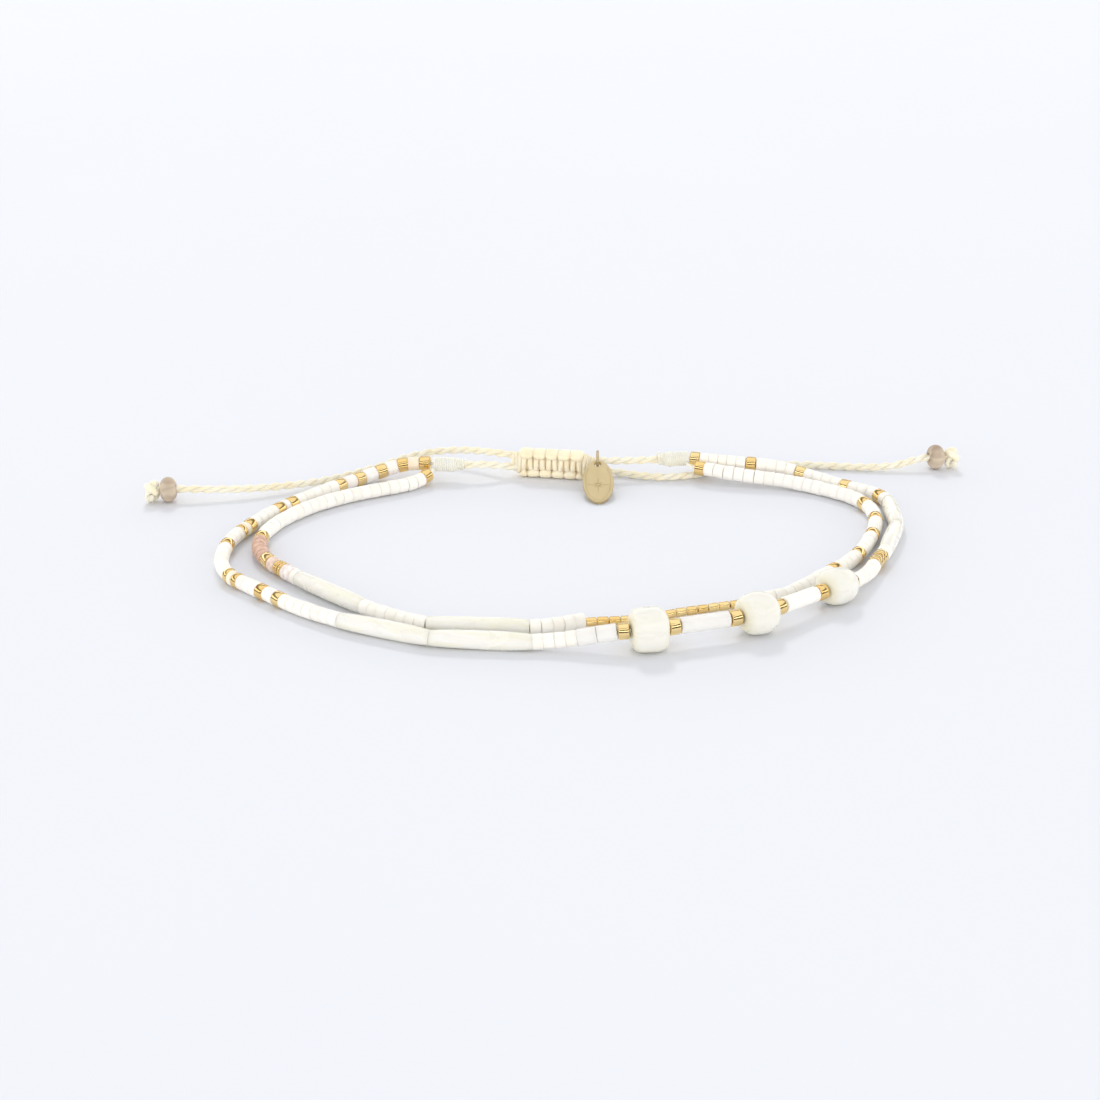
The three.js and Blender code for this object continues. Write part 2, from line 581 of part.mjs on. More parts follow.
// Single beads: a nugget keeps its own name, a group of several numbers its beads
function addBeads(path, strung) {
  for (const bead of strung.beads) {
    const mates = strung.beads.filter((other) => other.group === bead.group);
    const number = mates.indexOf(bead) + 1;
    const name = bead.kind in NUGGETS ? bead.kind
      : mates.length === 1 ? bead.group : `${bead.group}_${bead.kind}_${number}`;
    anklet.add(drilledBead(path, bead, name));
  }
  for (const row of strung.rows) {
    anklet.add(beadRow(path, row, row.name === 'rose_run' ? MATERIALS.rose : MATERIALS.gold));
  }
}
addBeads(outerPath, outer);
addBeads(innerPath, innerLeft);
addBeads(innerPath, innerRight);

// Clasp between the two strand ends
const WHIPPING_ENDS = {
  left: [at(-16.7, 26.7, 2.4), at(-12.7, 26.5, 2.4)],
  right: [at(16.0, 28.1, 2.6), at(19.7, 28.5, 2.6)],
};
const MACRAME_MIDDLE = at(0.35, 27.7, MACRAME.height / 2);
const MACRAME_TURN = THREE.MathUtils.degToRad(-9);
const halfMacrame = at(Math.cos(MACRAME_TURN), Math.sin(MACRAME_TURN), 0).multiplyScalar(MACRAME.length / 2);

anklet.add(whipping('whipping_left', ...WHIPPING_ENDS.left));
anklet.add(whipping('whipping_right', ...WHIPPING_ENDS.right));
anklet.add(macrame(MACRAME_MIDDLE.clone().sub(halfMacrame), MACRAME_MIDDLE.clone().add(halfMacrame)));
const LOAD_STEP = 3 * CORD;
const FREE_STEP = 3 * CORD;
anklet.add(cordTube('load_cord_a', ROUTES.load_cord_a, LOAD_STEP));
anklet.add(cordTube('load_cord_b', ROUTES.load_cord_b, LOAD_STEP));
anklet.add(cordTube('free_cord_a', ROUTES.free_cord_a, FREE_STEP));
anklet.add(cordTube('free_cord_b', ROUTES.free_cord_b, FREE_STEP));
anklet.add(...cordEnd('a', ROUTES.free_cord_a));
anklet.add(...cordEnd('b', ROUTES.free_cord_b));
anklet.add(...tagOnRing(ROUTES.load_cord_b[1]));

// The origin is the middle of the underside of the loop and its clasp, without the free cord ends
const FREE_ENDS = ['free_cord_a', 'free_cord_b', 'end_bead_a', 'end_bead_b', 'end_knot_a', 'end_knot_b'];
const box = new THREE.Box3();
for (const mesh of anklet.children) {
  if (!FREE_ENDS.includes(mesh.name)) box.expandByObject(mesh, true);
}
const middle = box.getCenter(new THREE.Vector3());
anklet.position.set(-middle.x, -middle.y, -box.min.z);

export default anklet;
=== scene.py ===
# %% [markdown]
# A two-strand beaded anklet
# The anklet lies on a table as a closed loop. Two strings of small glass beads run from one thread
# whipping to the other, and a knotted sliding clasp of waxed cord closes the loop at the back.
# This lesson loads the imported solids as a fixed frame, then makes the fine surface of every piece
# in the same place: first the camera and the cords, then the clasp, then the beads and the tag.

# %% Imports and the frame
import math
import random

import bmesh
import bpy
import numpy as np
from mathutils import Matrix, Vector, noise


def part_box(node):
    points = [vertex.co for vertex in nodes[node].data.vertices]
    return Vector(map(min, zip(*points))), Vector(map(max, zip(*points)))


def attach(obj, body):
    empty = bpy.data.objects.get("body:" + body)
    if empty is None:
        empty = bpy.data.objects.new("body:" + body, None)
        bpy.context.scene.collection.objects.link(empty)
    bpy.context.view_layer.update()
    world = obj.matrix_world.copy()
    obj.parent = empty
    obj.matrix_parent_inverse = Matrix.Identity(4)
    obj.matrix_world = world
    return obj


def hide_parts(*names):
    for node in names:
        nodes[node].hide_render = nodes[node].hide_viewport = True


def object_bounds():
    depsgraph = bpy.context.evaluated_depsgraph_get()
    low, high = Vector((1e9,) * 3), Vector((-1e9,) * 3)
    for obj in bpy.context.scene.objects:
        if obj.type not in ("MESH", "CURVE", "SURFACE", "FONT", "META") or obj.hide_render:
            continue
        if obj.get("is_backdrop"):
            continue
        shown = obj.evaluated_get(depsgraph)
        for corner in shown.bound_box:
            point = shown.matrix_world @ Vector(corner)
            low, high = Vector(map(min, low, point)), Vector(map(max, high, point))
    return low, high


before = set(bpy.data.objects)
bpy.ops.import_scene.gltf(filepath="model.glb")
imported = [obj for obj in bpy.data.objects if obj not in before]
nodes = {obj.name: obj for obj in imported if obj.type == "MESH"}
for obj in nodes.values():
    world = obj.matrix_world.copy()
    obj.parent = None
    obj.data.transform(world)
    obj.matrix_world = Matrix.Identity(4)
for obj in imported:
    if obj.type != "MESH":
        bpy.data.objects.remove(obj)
CAD_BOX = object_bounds()
MM = 0.001
print("solids in the frame:", len(nodes))

# %% [markdown]
# The camera
# The routes below are in millimetres from the middle of the photographed scene. The frame's origin is
# the middle of the loop's underside, so one shift takes every route point into the frame. The camera
# is a long lens 30 cm away, pitched 23 degrees down, as the photograph's perspective gives it.

# %% Camera
SHIFT = Vector((-2.165, 2.146, 0.0))
CAMERA_PLACE = Vector((0.0, -276.6, 117.4))
CAMERA_PITCH = math.radians(23)
LENS_MM = 71.93
FILM_MM = 36.0
NEAREST_SEEN = 10 * MM


def at(x, y, z):
    """A point of a route in millimetres, as a point of the frame in metres."""
    return (Vector((x, y, z)) + SHIFT) * MM


camera_data = bpy.data.cameras.new("camera")
camera_data.lens = LENS_MM
camera_data.sensor_width = FILM_MM
camera_data.clip_start = NEAREST_SEEN
camera = bpy.data.objects.new("camera", camera_data)
camera.location = at(*CAMERA_PLACE)
camera.rotation_euler = (math.pi / 2 - CAMERA_PITCH, 0, 0)
bpy.context.scene.collection.objects.link(camera)
bpy.context.scene.camera = camera
print(f"camera: {LENS_MM} mm lens, {CAMERA_PLACE.length:.0f} mm away")

# %% [markdown]
# Paths
# A cord or a string of beads follows one smooth curve through a few points. A centripetal
# Catmull-Rom curve passes through each point without overshooting. The path is sampled finely once,
# and then answers two questions: where is the point at this run, and which run is nearest to a point.

# %% A path through chosen points
PATH_STEP = 0.05 * MM
COARSE = 4


def curve_points(points, step):
    """Points of a centripetal Catmull-Rom curve, about a step apart."""
    ends = [2 * points[0] - points[1], *points, 2 * points[-1] - points[-2]]
    samples = []
    for p0, p1, p2, p3 in zip(ends, ends[1:], ends[2:], ends[3:]):
        d0, d1, d2 = (math.sqrt((b - a).length) for a, b in ((p0, p1), (p1, p2), (p2, p3)))
        start = ((p1 - p0) / d0 - (p2 - p0) / (d0 + d1) + (p2 - p1) / d1) * d1
        end = ((p2 - p1) / d1 - (p3 - p1) / (d1 + d2) + (p3 - p2) / d2) * d1
        count = max(2, round((p2 - p1).length / step))
        for i in range(count):
            t = i / count
            a = 2 * t**3 - 3 * t**2 + 1
            b = t**3 - 2 * t**2 + t
            samples.append(a * p1 + b * start + (1 - a) * p2 + (t**3 - t**2) * end)
    return np.array([*samples, points[-1]])


def runs_along(line):
    """How far along the line each of its points lies."""
    steps = np.linalg.norm(np.diff(line, axis=0), axis=1)
    return np.concatenate([[0], np.cumsum(steps)])


class Path:
    """A smooth curve through chosen points, measured by the run along it."""

    def __init__(self, points):
        self.points = curve_points(points, PATH_STEP)
        self.runs = runs_along(self.points)
        self.length = float(self.runs[-1])

    def at(self, run):
        return np.stack([np.interp(run, self.runs, self.points[:, k]) for k in range(3)], axis=-1)

    def along(self, run, reach=0.3 * MM):
        """The unit direction of the chord that reaches this far to both sides."""
        ahead = self.at(np.minimum(run + reach, self.length))
        behind = self.at(np.maximum(run - reach, 0))
        way = ahead - behind
        return way / np.linalg.norm(way, axis=-1, keepdims=True)

    def nearest(self, places):
        """The run of the path's point nearest to each place."""
        points = self.points[::COARSE]
        gaps = np.linalg.norm(places[:, None, :] - points[None, :, :], axis=2)
        return self.runs[::COARSE][gaps.argmin(axis=1)]

    def line(self, start, end, step):
        count = max(2, round((end - start) / step) + 1)
        return self.at(np.linspace(start, end, count))


# %% [markdown]
# Tubes
# Cord, thread and wire are all round sections swept along a line. The section must not spin on its
# way, so each frame is the last one turned by the smallest angle. Every tube here goes through one
# helper that also lays a UV map: U round the tube, V along it in millimetres, for patterns that follow it.


# %% Frames along a line
def frames(line):
    """Unit directions along, across and up at every point of a line, without spin."""
    way = np.gradient(line, axis=0)
    way /= np.linalg.norm(way, axis=1, keepdims=True)
    side = np.cross((0, 0, 1), way[0])
    if np.linalg.norm(side) < 1e-3:
        side = np.array((1.0, 0, 0))
    sides = []
    for direction in way:
        side = side - direction * np.dot(side, direction)
        side = side / np.linalg.norm(side)
        sides.append(side)
    sides = np.array(sides)
    return way, sides, np.cross(way, sides)


def square_to(way):
    """Two unit directions square to the way, the first one level."""
    side = np.cross((0, 0, 1), way)
    side /= np.linalg.norm(side)
    return side, np.cross(way, side)


# %% A skin of rings and tubes
def dress(name, mesh):
    """A finished mesh as an object that rides with the anklet."""
    piece = bpy.data.objects.new(name, mesh)
    bpy.context.scene.collection.objects.link(piece)
    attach(piece, "root")
    print(f"{name}: {sum(len(p.vertices) - 2 for p in mesh.polygons)} triangles")
    return piece


class Skin:
    """Gathers tubes and other ring-built shapes into one mesh."""

    def __init__(self):
        self.points = []
        self.faces = []
        self.uvs = []

    def rings(self, rings, lengths, closed=False):
        """rings is an array of shape (rings, sides, 3); the ends are capped unless it is closed."""
        count, sides, _ = rings.shape
        base = sum(len(block) for block in self.points)
        self.points.append(rings.reshape(-1, 3))
        spans = count if closed else count - 1
        for i in range(spans):
            here = base + i * sides
            there = base + ((i + 1) % count) * sides
            v0 = lengths[i]
            v1 = lengths[i + 1] if i + 1 < count else lengths[i]
            for k in range(sides):
                n = (k + 1) % sides
                u0, u1 = k / sides, (k + 1) / sides
                self.faces.append((here + k, here + n, there + n, there + k))
                self.uvs += [(u0, v0), (u1, v0), (u1, v1), (u0, v1)]
        if not closed:
            last = base + (count - 1) * sides
            self.faces.append(tuple(base + k for k in reversed(range(sides))))
            self.uvs += [(0.5, lengths[0])] * sides
            self.faces.append(tuple(last + k for k in range(sides)))
            self.uvs += [(0.5, lengths[-1])] * sides

    def tube(self, line, radius, sides=10, flatten=1.0):
        """A round section swept along the line; the radius is one number or one for each point."""
        _, side, up = frames(line)
        angle = np.linspace(0, 2 * math.pi, sides, endpoint=False)[None, :, None]
        radius = np.broadcast_to(radius, len(line))[:, None, None]
        ring = np.cos(angle) * side[:, None] + flatten * np.sin(angle) * up[:, None]
        self.rings(line[:, None] + radius * ring, runs_along(line) / MM)

    def piece(self, name, material):
        """The gathered shapes as one object."""
        mesh = bpy.data.meshes.new(name)
        mesh.from_pydata(np.concatenate(self.points).tolist(), [], self.faces)
        layer = mesh.uv_layers.new(name="UVMap")
        layer.data.foreach_set("uv", np.array(self.uvs, dtype=np.float32).ravel())
        mesh.shade_smooth()
        mesh.materials.append(material)
        return dress(name, mesh)


# %% [markdown]
# Cord
# The clasp is tied from waxed two-ply cord: cream thread with a slight shine, and fine fibres that run
# along each ply. The colour changes a little from place to place where the wax lies thicker. The
# fibres read the UV map, so they follow each ply. The groove between the plies comes from their shape.


# %% Ramps and mixes
def ramp(tree, factor, stops):
    """Colours by a factor, with a stop for each pair of place and colour."""
    node = tree.nodes.new("ShaderNodeValToRGB")
    while len(node.color_ramp.elements) < len(stops):
        node.color_ramp.elements.new(0.5)
    for element, (place, colour) in zip(node.color_ramp.elements, stops):
        element.position = place
        element.color = (*colour, 1)
    tree.links.new(factor, node.inputs["Fac"])
    return node.outputs["Color"]


def mix(tree, factor, first, second, how="MIX"):
    """Two colours mixed; each value is a socket, a number or a colour."""
    node = tree.nodes.new("ShaderNodeMix")
    node.data_type = "RGBA"
    node.blend_type = how
    for socket, value in (("Factor", factor), ("A", first), ("B", second)):
        if isinstance(value, bpy.types.NodeSocket):
            tree.links.new(value, node.inputs[socket])
        else:
            node.inputs[socket].default_value = value if isinstance(value, float) else (*value, 1)
    return node.outputs["Result"]


# %% A material at hand
class Finish:
    """A material with its node tree and its Principled shader at hand."""

    def __init__(self, name):
        self.material = bpy.data.materials.new(name)
        self.material.use_nodes = True
        self.tree = self.material.node_tree
        self.shader = self.tree.nodes["Principled BSDF"]
        self.place = self.tree.nodes.new("ShaderNodeTexCoord")

    def set(self, **values):
        for key, value in values.items():
            self.shader.inputs[key.replace("_", " ")].default_value = value

    def noise(self, scale, detail=3.0, source="Object", stretch=(1, 1, 1), distortion=0.0):
        """Noise on Object or UV coordinates, stretched along the axes."""
        turn = self.tree.nodes.new("ShaderNodeMapping")
        turn.inputs["Scale"].default_value = stretch
        grain = self.tree.nodes.new("ShaderNodeTexNoise")
        grain.inputs["Scale"].default_value = scale
        grain.inputs["Detail"].default_value = detail
        grain.inputs["Distortion"].default_value = distortion
        self.tree.links.new(self.place.outputs[source], turn.inputs["Vector"])
        self.tree.links.new(turn.outputs["Vector"], grain.inputs["Vector"])
        return grain.outputs["Fac"]

    def ramp(self, factor, *stops):
        return ramp(self.tree, factor, stops)

    def blend(self, factor, first, second):
        return mix(self.tree, factor, first, second, "MULTIPLY")

    def spread(self, factor, low, high):
        """A factor from 0 to 1 spread from low to high."""
        node = self.tree.nodes.new("ShaderNodeMapRange")
        node.inputs["To Min"].default_value = low
        node.inputs["To Max"].default_value = high
        self.tree.links.new(factor, node.inputs["Value"])
        return node.outputs["Result"]

    def attribute(self, name, output):
        node = self.tree.nodes.new("ShaderNodeAttribute")
        node.attribute_name = name
        return node.outputs[output]

    def colour(self, socket):
        self.tree.links.new(socket, self.shader.inputs["Base Color"])

    def roughness(self, socket):
        self.tree.links.new(socket, self.shader.inputs["Roughness"])

    def bump(self, height, distance, strength=1.0):
        node = self.tree.nodes.new("ShaderNodeBump")
        node.inputs["Strength"].default_value = strength
        node.inputs["Distance"].default_value = distance
        self.tree.links.new(height, node.inputs["Height"])
        self.tree.links.new(node.outputs["Normal"], self.shader.inputs["Normal"])


# %% Waxed cord and binding thread
def thread_finish(name, shade, light):
    thread = Finish(name)
    thread.set(Roughness=0.6, Sheen_Weight=0.2, Sheen_Roughness=0.4, Subsurface_Weight=0.35)
    thread.set(Subsurface_Scale=0.0008, Subsurface_Radius=(1.0, 0.85, 0.6))
    wax = thread.ramp(thread.noise(420.0), (0.3, shade), (0.7, light))
    fibres = thread.noise(4.0, detail=4.0, source="UV", stretch=(9.0, 0.35, 1.0))
    fleck = thread.ramp(fibres, (0.32, (0.90, 0.84, 0.72)), (0.58, (1.0, 1.0, 1.0)))
    thread.colour(thread.blend(0.55, wax, fleck))
    thread.bump(fibres, 0.00005)
    return thread.material


CORD_FINISH = thread_finish("waxed_cord", (0.93, 0.83, 0.61), (0.965, 0.92, 0.77))
BINDING = thread_finish("binding_thread", (1.0, 0.955, 0.78), (1.0, 0.98, 0.86))
KNOT_WORK = thread_finish("knotted_cord", (0.96, 0.82, 0.57), (0.985, 0.89, 0.70))
print("finishes:", CORD_FINISH.name, BINDING.name, KNOT_WORK.name)

# %% [markdown]
# The cords of the clasp
# Two cords leave the macrame at each side. One of each pair carries the load to a whipping, the other
# is a free end that lies out on the table and ends in a bead and a knot. A free end is limp, with no
# more length than the photograph shows. Each cord is two plies that wind round each other.

# %% Routes of the cords
CORD = 1.15
ROUTES = {
    "load_cord_a": [(-12.3, 26.5, 2.4), (-10.2, 26.7, 2.35), (-7.6, 27.3, 2.0), (-5.0, 28.0, 1.45)],
    "load_cord_b": [(5.5, 26.9, 3.0), (7.0, 27.0, 2.85), (11.5, 27.6, 2.65), (15.7, 28.1, 2.6)],
    "free_cord_a": [
        (5.6, 27.6, 1.1), (7.1, 28.2, 0.85), (9.6, 28.1, 0.65), (13.2, 26.8, 0.6), (16.6, 26.1, 0.6),
        (19.8, 26.6, 0.6), (23.6, 28.3, 0.6), (27.4, 29.9, 0.6), (31.4, 30.9, 0.6), (36.0, 31.3, 0.6),
        (41.8, 30.8, 0.6), (47.6, 30.1, 0.65), (51.2, 30.1, 0.9), (54.2, 30.6, 1.5), (56.2, 31.0, 1.83),
        (58.9, 31.5, 1.83),
    ],
    "free_cord_b": [
        (-5.0, 28.8, 2.95), (-7.5, 30.0, 2.9), (-11.0, 31.9, 2.6), (-14.5, 33.1, 2.2), (-18.0, 33.6, 1.7),
        (-21.6, 33.0, 1.1), (-24.8, 31.0, 0.7), (-28.6, 27.9, 0.6), (-32.6, 24.9, 0.65), (-37.2, 22.0, 1.0),
        (-43.2, 19.7, 1.3), (-49.0, 18.6, 1.6), (-53.4, 18.1, 1.83), (-56.2, 17.8, 1.83),
    ],
}
cord_paths = {name: Path([at(*point) for point in route]) for name, route in ROUTES.items()}
for name, path in cord_paths.items():
    print(f"{name}: {path.length / MM:.1f} mm long")

# %% Twist two plies into a cord
PLY = {"radius": 0.355 * MM, "offset": 0.22 * MM, "sides": 9}
TWIST = 3.9 * MM
TUCK = 0.9 * MM
CORD_STEP = 0.22 * MM


def twisted_cord(skin, line, phase=0.0):
    """Two plies that wind round the line."""
    _, side, up = frames(line)
    run = runs_along(line)
    for ply in range(2):
        turn = phase + math.pi * ply - 2 * math.pi * run / TWIST
        centre = line + PLY["offset"] * (np.cos(turn)[:, None] * side + np.sin(turn)[:, None] * up)
        skin.tube(centre, PLY["radius"], sides=PLY["sides"])


def tucked(path, line):
    """The line, led on a little at both ends, so that a load cord goes into its knots."""
    start = path.at(0.0) - path.along(0.0) * TUCK
    end = path.at(path.length) + path.along(path.length) * TUCK
    return np.vstack([start, line, end])


for name, path in cord_paths.items():
    line = path.line(0, path.length, CORD_STEP)
    if name.startswith("load"):
        line = tucked(path, line)
    skin = Skin()
    twisted_cord(skin, line)
    skin.piece(f"twisted_{name}", CORD_FINISH)
    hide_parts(name)

# %% [markdown]
# Bead and knot on each free end
# The bead is a small wooden disc, wider than it is thick, turned and lightly sanded. Its bore is just
# wider than the cord. The knot behind it is a plain overhand knot pulled tight, which is a trefoil
# curve: a cord that winds round itself three times. A short tail with loose fibres hangs from it.


# %% Sanded wood
def sanded_wood():
    wood = Finish("sanded_wood")
    wood.set(Coat_Weight=0.15, Coat_Roughness=0.3)
    grain = wood.noise(700.0, detail=6.0, stretch=(0.35, 1.0, 1.0), distortion=0.6)
    dark, mid, light = (0.38, 0.28, 0.205), (0.52, 0.42, 0.31), (0.67, 0.555, 0.42)
    wood.colour(wood.ramp(grain, (0.32, dark), (0.5, mid), (0.68, light)))
    wood.roughness(wood.spread(grain, 0.42, 0.62))
    wood.bump(grain, 0.00003)
    return wood.material


WOOD = sanded_wood()

# %% Turned wooden discs
END_BEAD = {"diameter": 3.65, "length": 2.3, "sides": 40}
BORE_ROOM = 0.1
RIM_ANGLE = math.radians(68)
RIM_FLAT = 0.14
END_GAP = 0.3
END_REACH = 0.5 * MM


def turned(skin, profile, middle, way):
    """A profile of (radius, place along the axis) in metres, closed on itself, turned round an axis."""
    way = way / np.linalg.norm(way)
    side, up = square_to(way)
    angle = np.linspace(0, 2 * math.pi, END_BEAD["sides"], endpoint=False)
    around = np.cos(angle)[:, None] * side + np.sin(angle)[:, None] * up
    rings = np.array([middle + way * place + around * radius for radius, place in profile])
    skin.rings(rings, [place / MM for _, place in profile], closed=True)


def disc_profile(radius, bore, half):
    """Section of a lentil-shaped disc: a full round rim that runs out into two small flat ends."""
    rim = []
    for a in np.linspace(-RIM_ANGLE, RIM_ANGLE, 15):
        wide = RIM_FLAT + (1 - RIM_FLAT) * math.cos(a) ** 0.9
        rim.append((radius * wide, half * math.sin(a) / math.sin(RIM_ANGLE)))
    return [(bore, -half), *rim, (bore, half)]


def end_bead(letter, path):
    way = path.along(path.length - END_REACH)
    half = END_BEAD["length"] / 2
    middle = path.at(path.length) - way * (END_GAP / 2 + half) * MM
    profile = disc_profile(END_BEAD["diameter"] / 2 * MM, (CORD / 2 + BORE_ROOM) * MM, half * MM)
    skin = Skin()
    turned(skin, profile, middle, way)
    piece = skin.piece(f"wooden_disc_{letter}", WOOD)
    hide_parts(f"end_bead_{letter}")
    return piece


end_beads = {letter: end_bead(letter, cord_paths[f"free_cord_{letter}"]) for letter in "ab"}


# %% Overhand knots with a frayed tail
KNOT = {"diameter": 3.4, "length": 2.1, "snug": 0.4, "strand": 0.5, "points": 72}
TAIL_END = ((-1, 0.56), (0, 0.54), (0.6, 0.42), (1, 0.2))
FRAY = {"fibres": 16, "radius": 0.025, "low": 0.05}


def centre_of(name):
    """The middle of a solid's box."""
    low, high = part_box(name)
    return (np.array(low) + np.array(high)) / 2


def fray(skin, tip, outward, chance):
    """Loose fibres that stand out from the end of a tail."""
    for _ in range(FRAY["fibres"]):
        spread = np.array(Vector([chance.uniform(-1, 1) for _ in range(3)]).normalized())
        start = tip + spread * 0.4 * MM
        bend = start + outward * chance.uniform(0.1, 0.25)
        end = bend + spread * chance.uniform(0.1, 0.3) * MM
        end[2] = max(end[2], FRAY["low"] * MM)
        skin.tube(np.array([start, bend, end]), FRAY["radius"] * MM, sides=5)


def end_knot(letter, path):
    """A trefoil curve pulled tight, with the cord that enters it and a short tail."""
    way = path.along(path.length - END_REACH)
    middle = centre_of(f"end_knot_{letter}") - way * KNOT["snug"] * MM
    side = np.cross((0, 0, 1), way)
    up = np.cross(way, side)
    t = np.linspace(0, 2 * math.pi, KNOT["points"], endpoint=False)
    thick = KNOT["strand"] * MM
    wide = KNOT["diameter"] / 2 * MM - thick
    deep = KNOT["length"] / 2 * MM - thick
    x = (np.sin(t) + 2 * np.sin(2 * t)) / 3
    y = (np.cos(t) - 2 * np.cos(2 * t)) / 3
    trefoil = wide * (0.85 * x[:, None] * side + y[:, None] * up)
    line = middle + trefoil - deep * np.sin(3 * t)[:, None] * way
    skin = Skin()
    skin.tube(np.vstack([line, line[:1]]), thick, sides=12)
    skin.tube(np.linspace(path.at(path.length) - way * END_GAP * MM, middle, 5), CORD / 2 * MM)
    front = side if side[1] < 0 else -side
    root = middle - 0.2 * wide * up
    tip = middle - 0.62 * wide * up + 1.0 * wide * front + 0.2 * deep * way
    twisted_cord(skin, np.linspace(root, tip, 12), phase=1.0)
    outward = (tip - root) / np.linalg.norm(tip - root)
    round_end = np.array([tip + outward * 0.3 * MM * share for share, _ in TAIL_END])
    skin.tube(round_end, np.array([radius for _, radius in TAIL_END]) * MM, sides=12)
    fray(skin, tip, tip - root, random.Random(f"fray {letter}"))
    piece = skin.piece(f"overhand_knot_{letter}", CORD_FINISH)
    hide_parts(f"end_knot_{letter}")
    return piece


end_knots = {letter: end_knot(letter, cord_paths[f"free_cord_{letter}"]) for letter in "ab"}

for letter in "ab":
    path = cord_paths[f"free_cord_{letter}"]
    tuple(path.at(0.0))
    [tuple(p) for p in path.line(0, path.length, 1.0 * MM)]

# %% [markdown]
# Whippings
# Where the two bead strings meet a load cord, thread is wound tightly round them: a whipping. On the
# real piece it is some fifteen turns side by side over a round core. A helix with a pitch of one
# thread makes it, and a few loose fibres stand out at its cord end.

# %% Wound thread
WHIPPING = {"diameter": 2.15, "thread": 0.3, "swelled": 1.25, "taper": 0.34, "waist": 0.58}
SLACK = 0.09
TURN_POINTS = 20
LOOSE_ENDS = {"count": 16, "radius": 0.03, "from_axis": 0.75}


def waisted(shares):
    """Share of the full radius: narrow at the cord end, full after the taper."""
    waist = WHIPPING["waist"]
    return waist + (1 - waist) * np.minimum(1, shares / WHIPPING["taper"])


def loose_ends(skin, tail, outward, side, up, chance):
    """Fine fibres that stand out where the cord leaves the whipping."""
    for _ in range(LOOSE_ENDS["count"]):
        a = chance.uniform(0, 2 * math.pi)
        around = math.cos(a) * side + math.sin(a) * up
        root = tail - outward * chance.uniform(0.2, 1.4) * MM + around * LOOSE_ENDS["from_axis"] * MM
        middle = root + outward * 0.6 * MM + around * chance.uniform(0.05, 0.3) * MM
        reach = outward * chance.uniform(0.2, 0.8) * MM
        tip = middle + reach + around * chance.uniform(-0.2, 0.35) * MM
        skin.tube(np.array([root, middle, tip]), LOOSE_ENDS["radius"] * MM, sides=5)


def whipping(name, from_point, to_point, cord_end):
    """Thread wound from one point to the other, turn beside turn, over a round core."""
    start = np.array(at(*from_point))
    end = np.array(at(*to_point))
    thread = WHIPPING["swelled"] * WHIPPING["thread"] / 2 * MM
    outer = WHIPPING["diameter"] / 2 * MM - thread
    chance = random.Random(f"whipping {name}")
    turns = int(np.linalg.norm(end - start) / MM / WHIPPING["thread"])
    slack = [chance.uniform(0, SLACK) for _ in range(turns + 1)]

    def from_cord(shares):
        return shares if cord_end == "start" else 1 - shares

    spread = np.linspace(0, 1, turns * TURN_POINTS)
    near_cord = from_cord(spread) < WHIPPING["taper"] * 1.4
    uneven = np.interp(spread * turns, range(turns + 1), slack) * np.where(near_cord, 1.0, 0.25)
    swell = waisted(from_cord(spread)) + uneven
    way, side, up = frames(np.array([start, end]))
    angle = 2 * math.pi * turns * spread[:, None]
    around = np.cos(angle) * side[0] + np.sin(angle) * up[0]
    skin = Skin()
    skin.tube(start + (end - start) * spread[:, None] + outer * swell[:, None] * around, thread, sides=7)
    shares = np.linspace(0, 1, 16)
    core = start + (end - start) * shares[:, None]
    skin.tube(core, outer * waisted(from_cord(shares)), sides=16)
    tail, outward = (start, -way[0]) if cord_end == "start" else (end, way[0])
    loose_ends(skin, tail, outward, side[0], up[0], chance)
    piece = skin.piece(f"wound_{name}", BINDING)
    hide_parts(name)


whipping("whipping_left", (-17.1, 26.72, 2.4), (-12.7, 26.5, 2.4), "end")
whipping("whipping_right", (16.0, 28.1, 2.6), (20.5, 28.6, 2.6), "start")

# %% [markdown]
# The sliding macrame
# The clasp is a row of square knots tied round the two cords. Seen from its broad side, each knot shows
# two bars that cross the core, and a loop at the top or the bottom edge that joins one bar to the next.
# Top and bottom loops take turns, which leaves the small dark slits of the real thing between them.

# %% Sizes of the clasp
MACRAME = {"length": 9.6, "height": 4.3, "thickness": 2.3, "middle": (0.35, 27.7), "turn": -9, "rim": 0.2}
KNOTS = 5
BAR = {"radius": 0.38, "lean": 0.11, "wander": 0.04, "bow": 0.8, "flatten": 0.9}
LOOP = {"height": 0.78, "depth": 1.3, "sag": 0.06, "spare": 0.02, "shortest": 0.5}
CORE = {"radius": 0.55, "flatten": 2.0}
END_WRAPS = ((4.85, 1.45), (5.35, 1.2), (5.8, 0.98))
END_WRAP_RADIUS = 0.36
END_CORE = ((4.4, 0.7), (5.2, 0.55), (5.7, 0.45))
EDGE = MACRAME["height"] / 2 - LOOP["height"]
PITCH = (MACRAME["length"] - 2 * MACRAME["rim"]) / (2 * KNOTS)
print(f"half knots every {PITCH:.2f} mm")


def in_clasp(x, y, z):
    """A point of the clasp in millimetres: x along its cords, y through it and z up."""
    turn = math.radians(MACRAME["turn"])
    way = np.array((math.cos(turn), math.sin(turn), 0))
    across = np.array((-math.sin(turn), math.cos(turn), 0))
    up = np.array((0, 0, 1.0))
    middle = np.array(at(*MACRAME["middle"], MACRAME["height"] / 2))
    return middle + (way * x + across * y + up * z) * MM


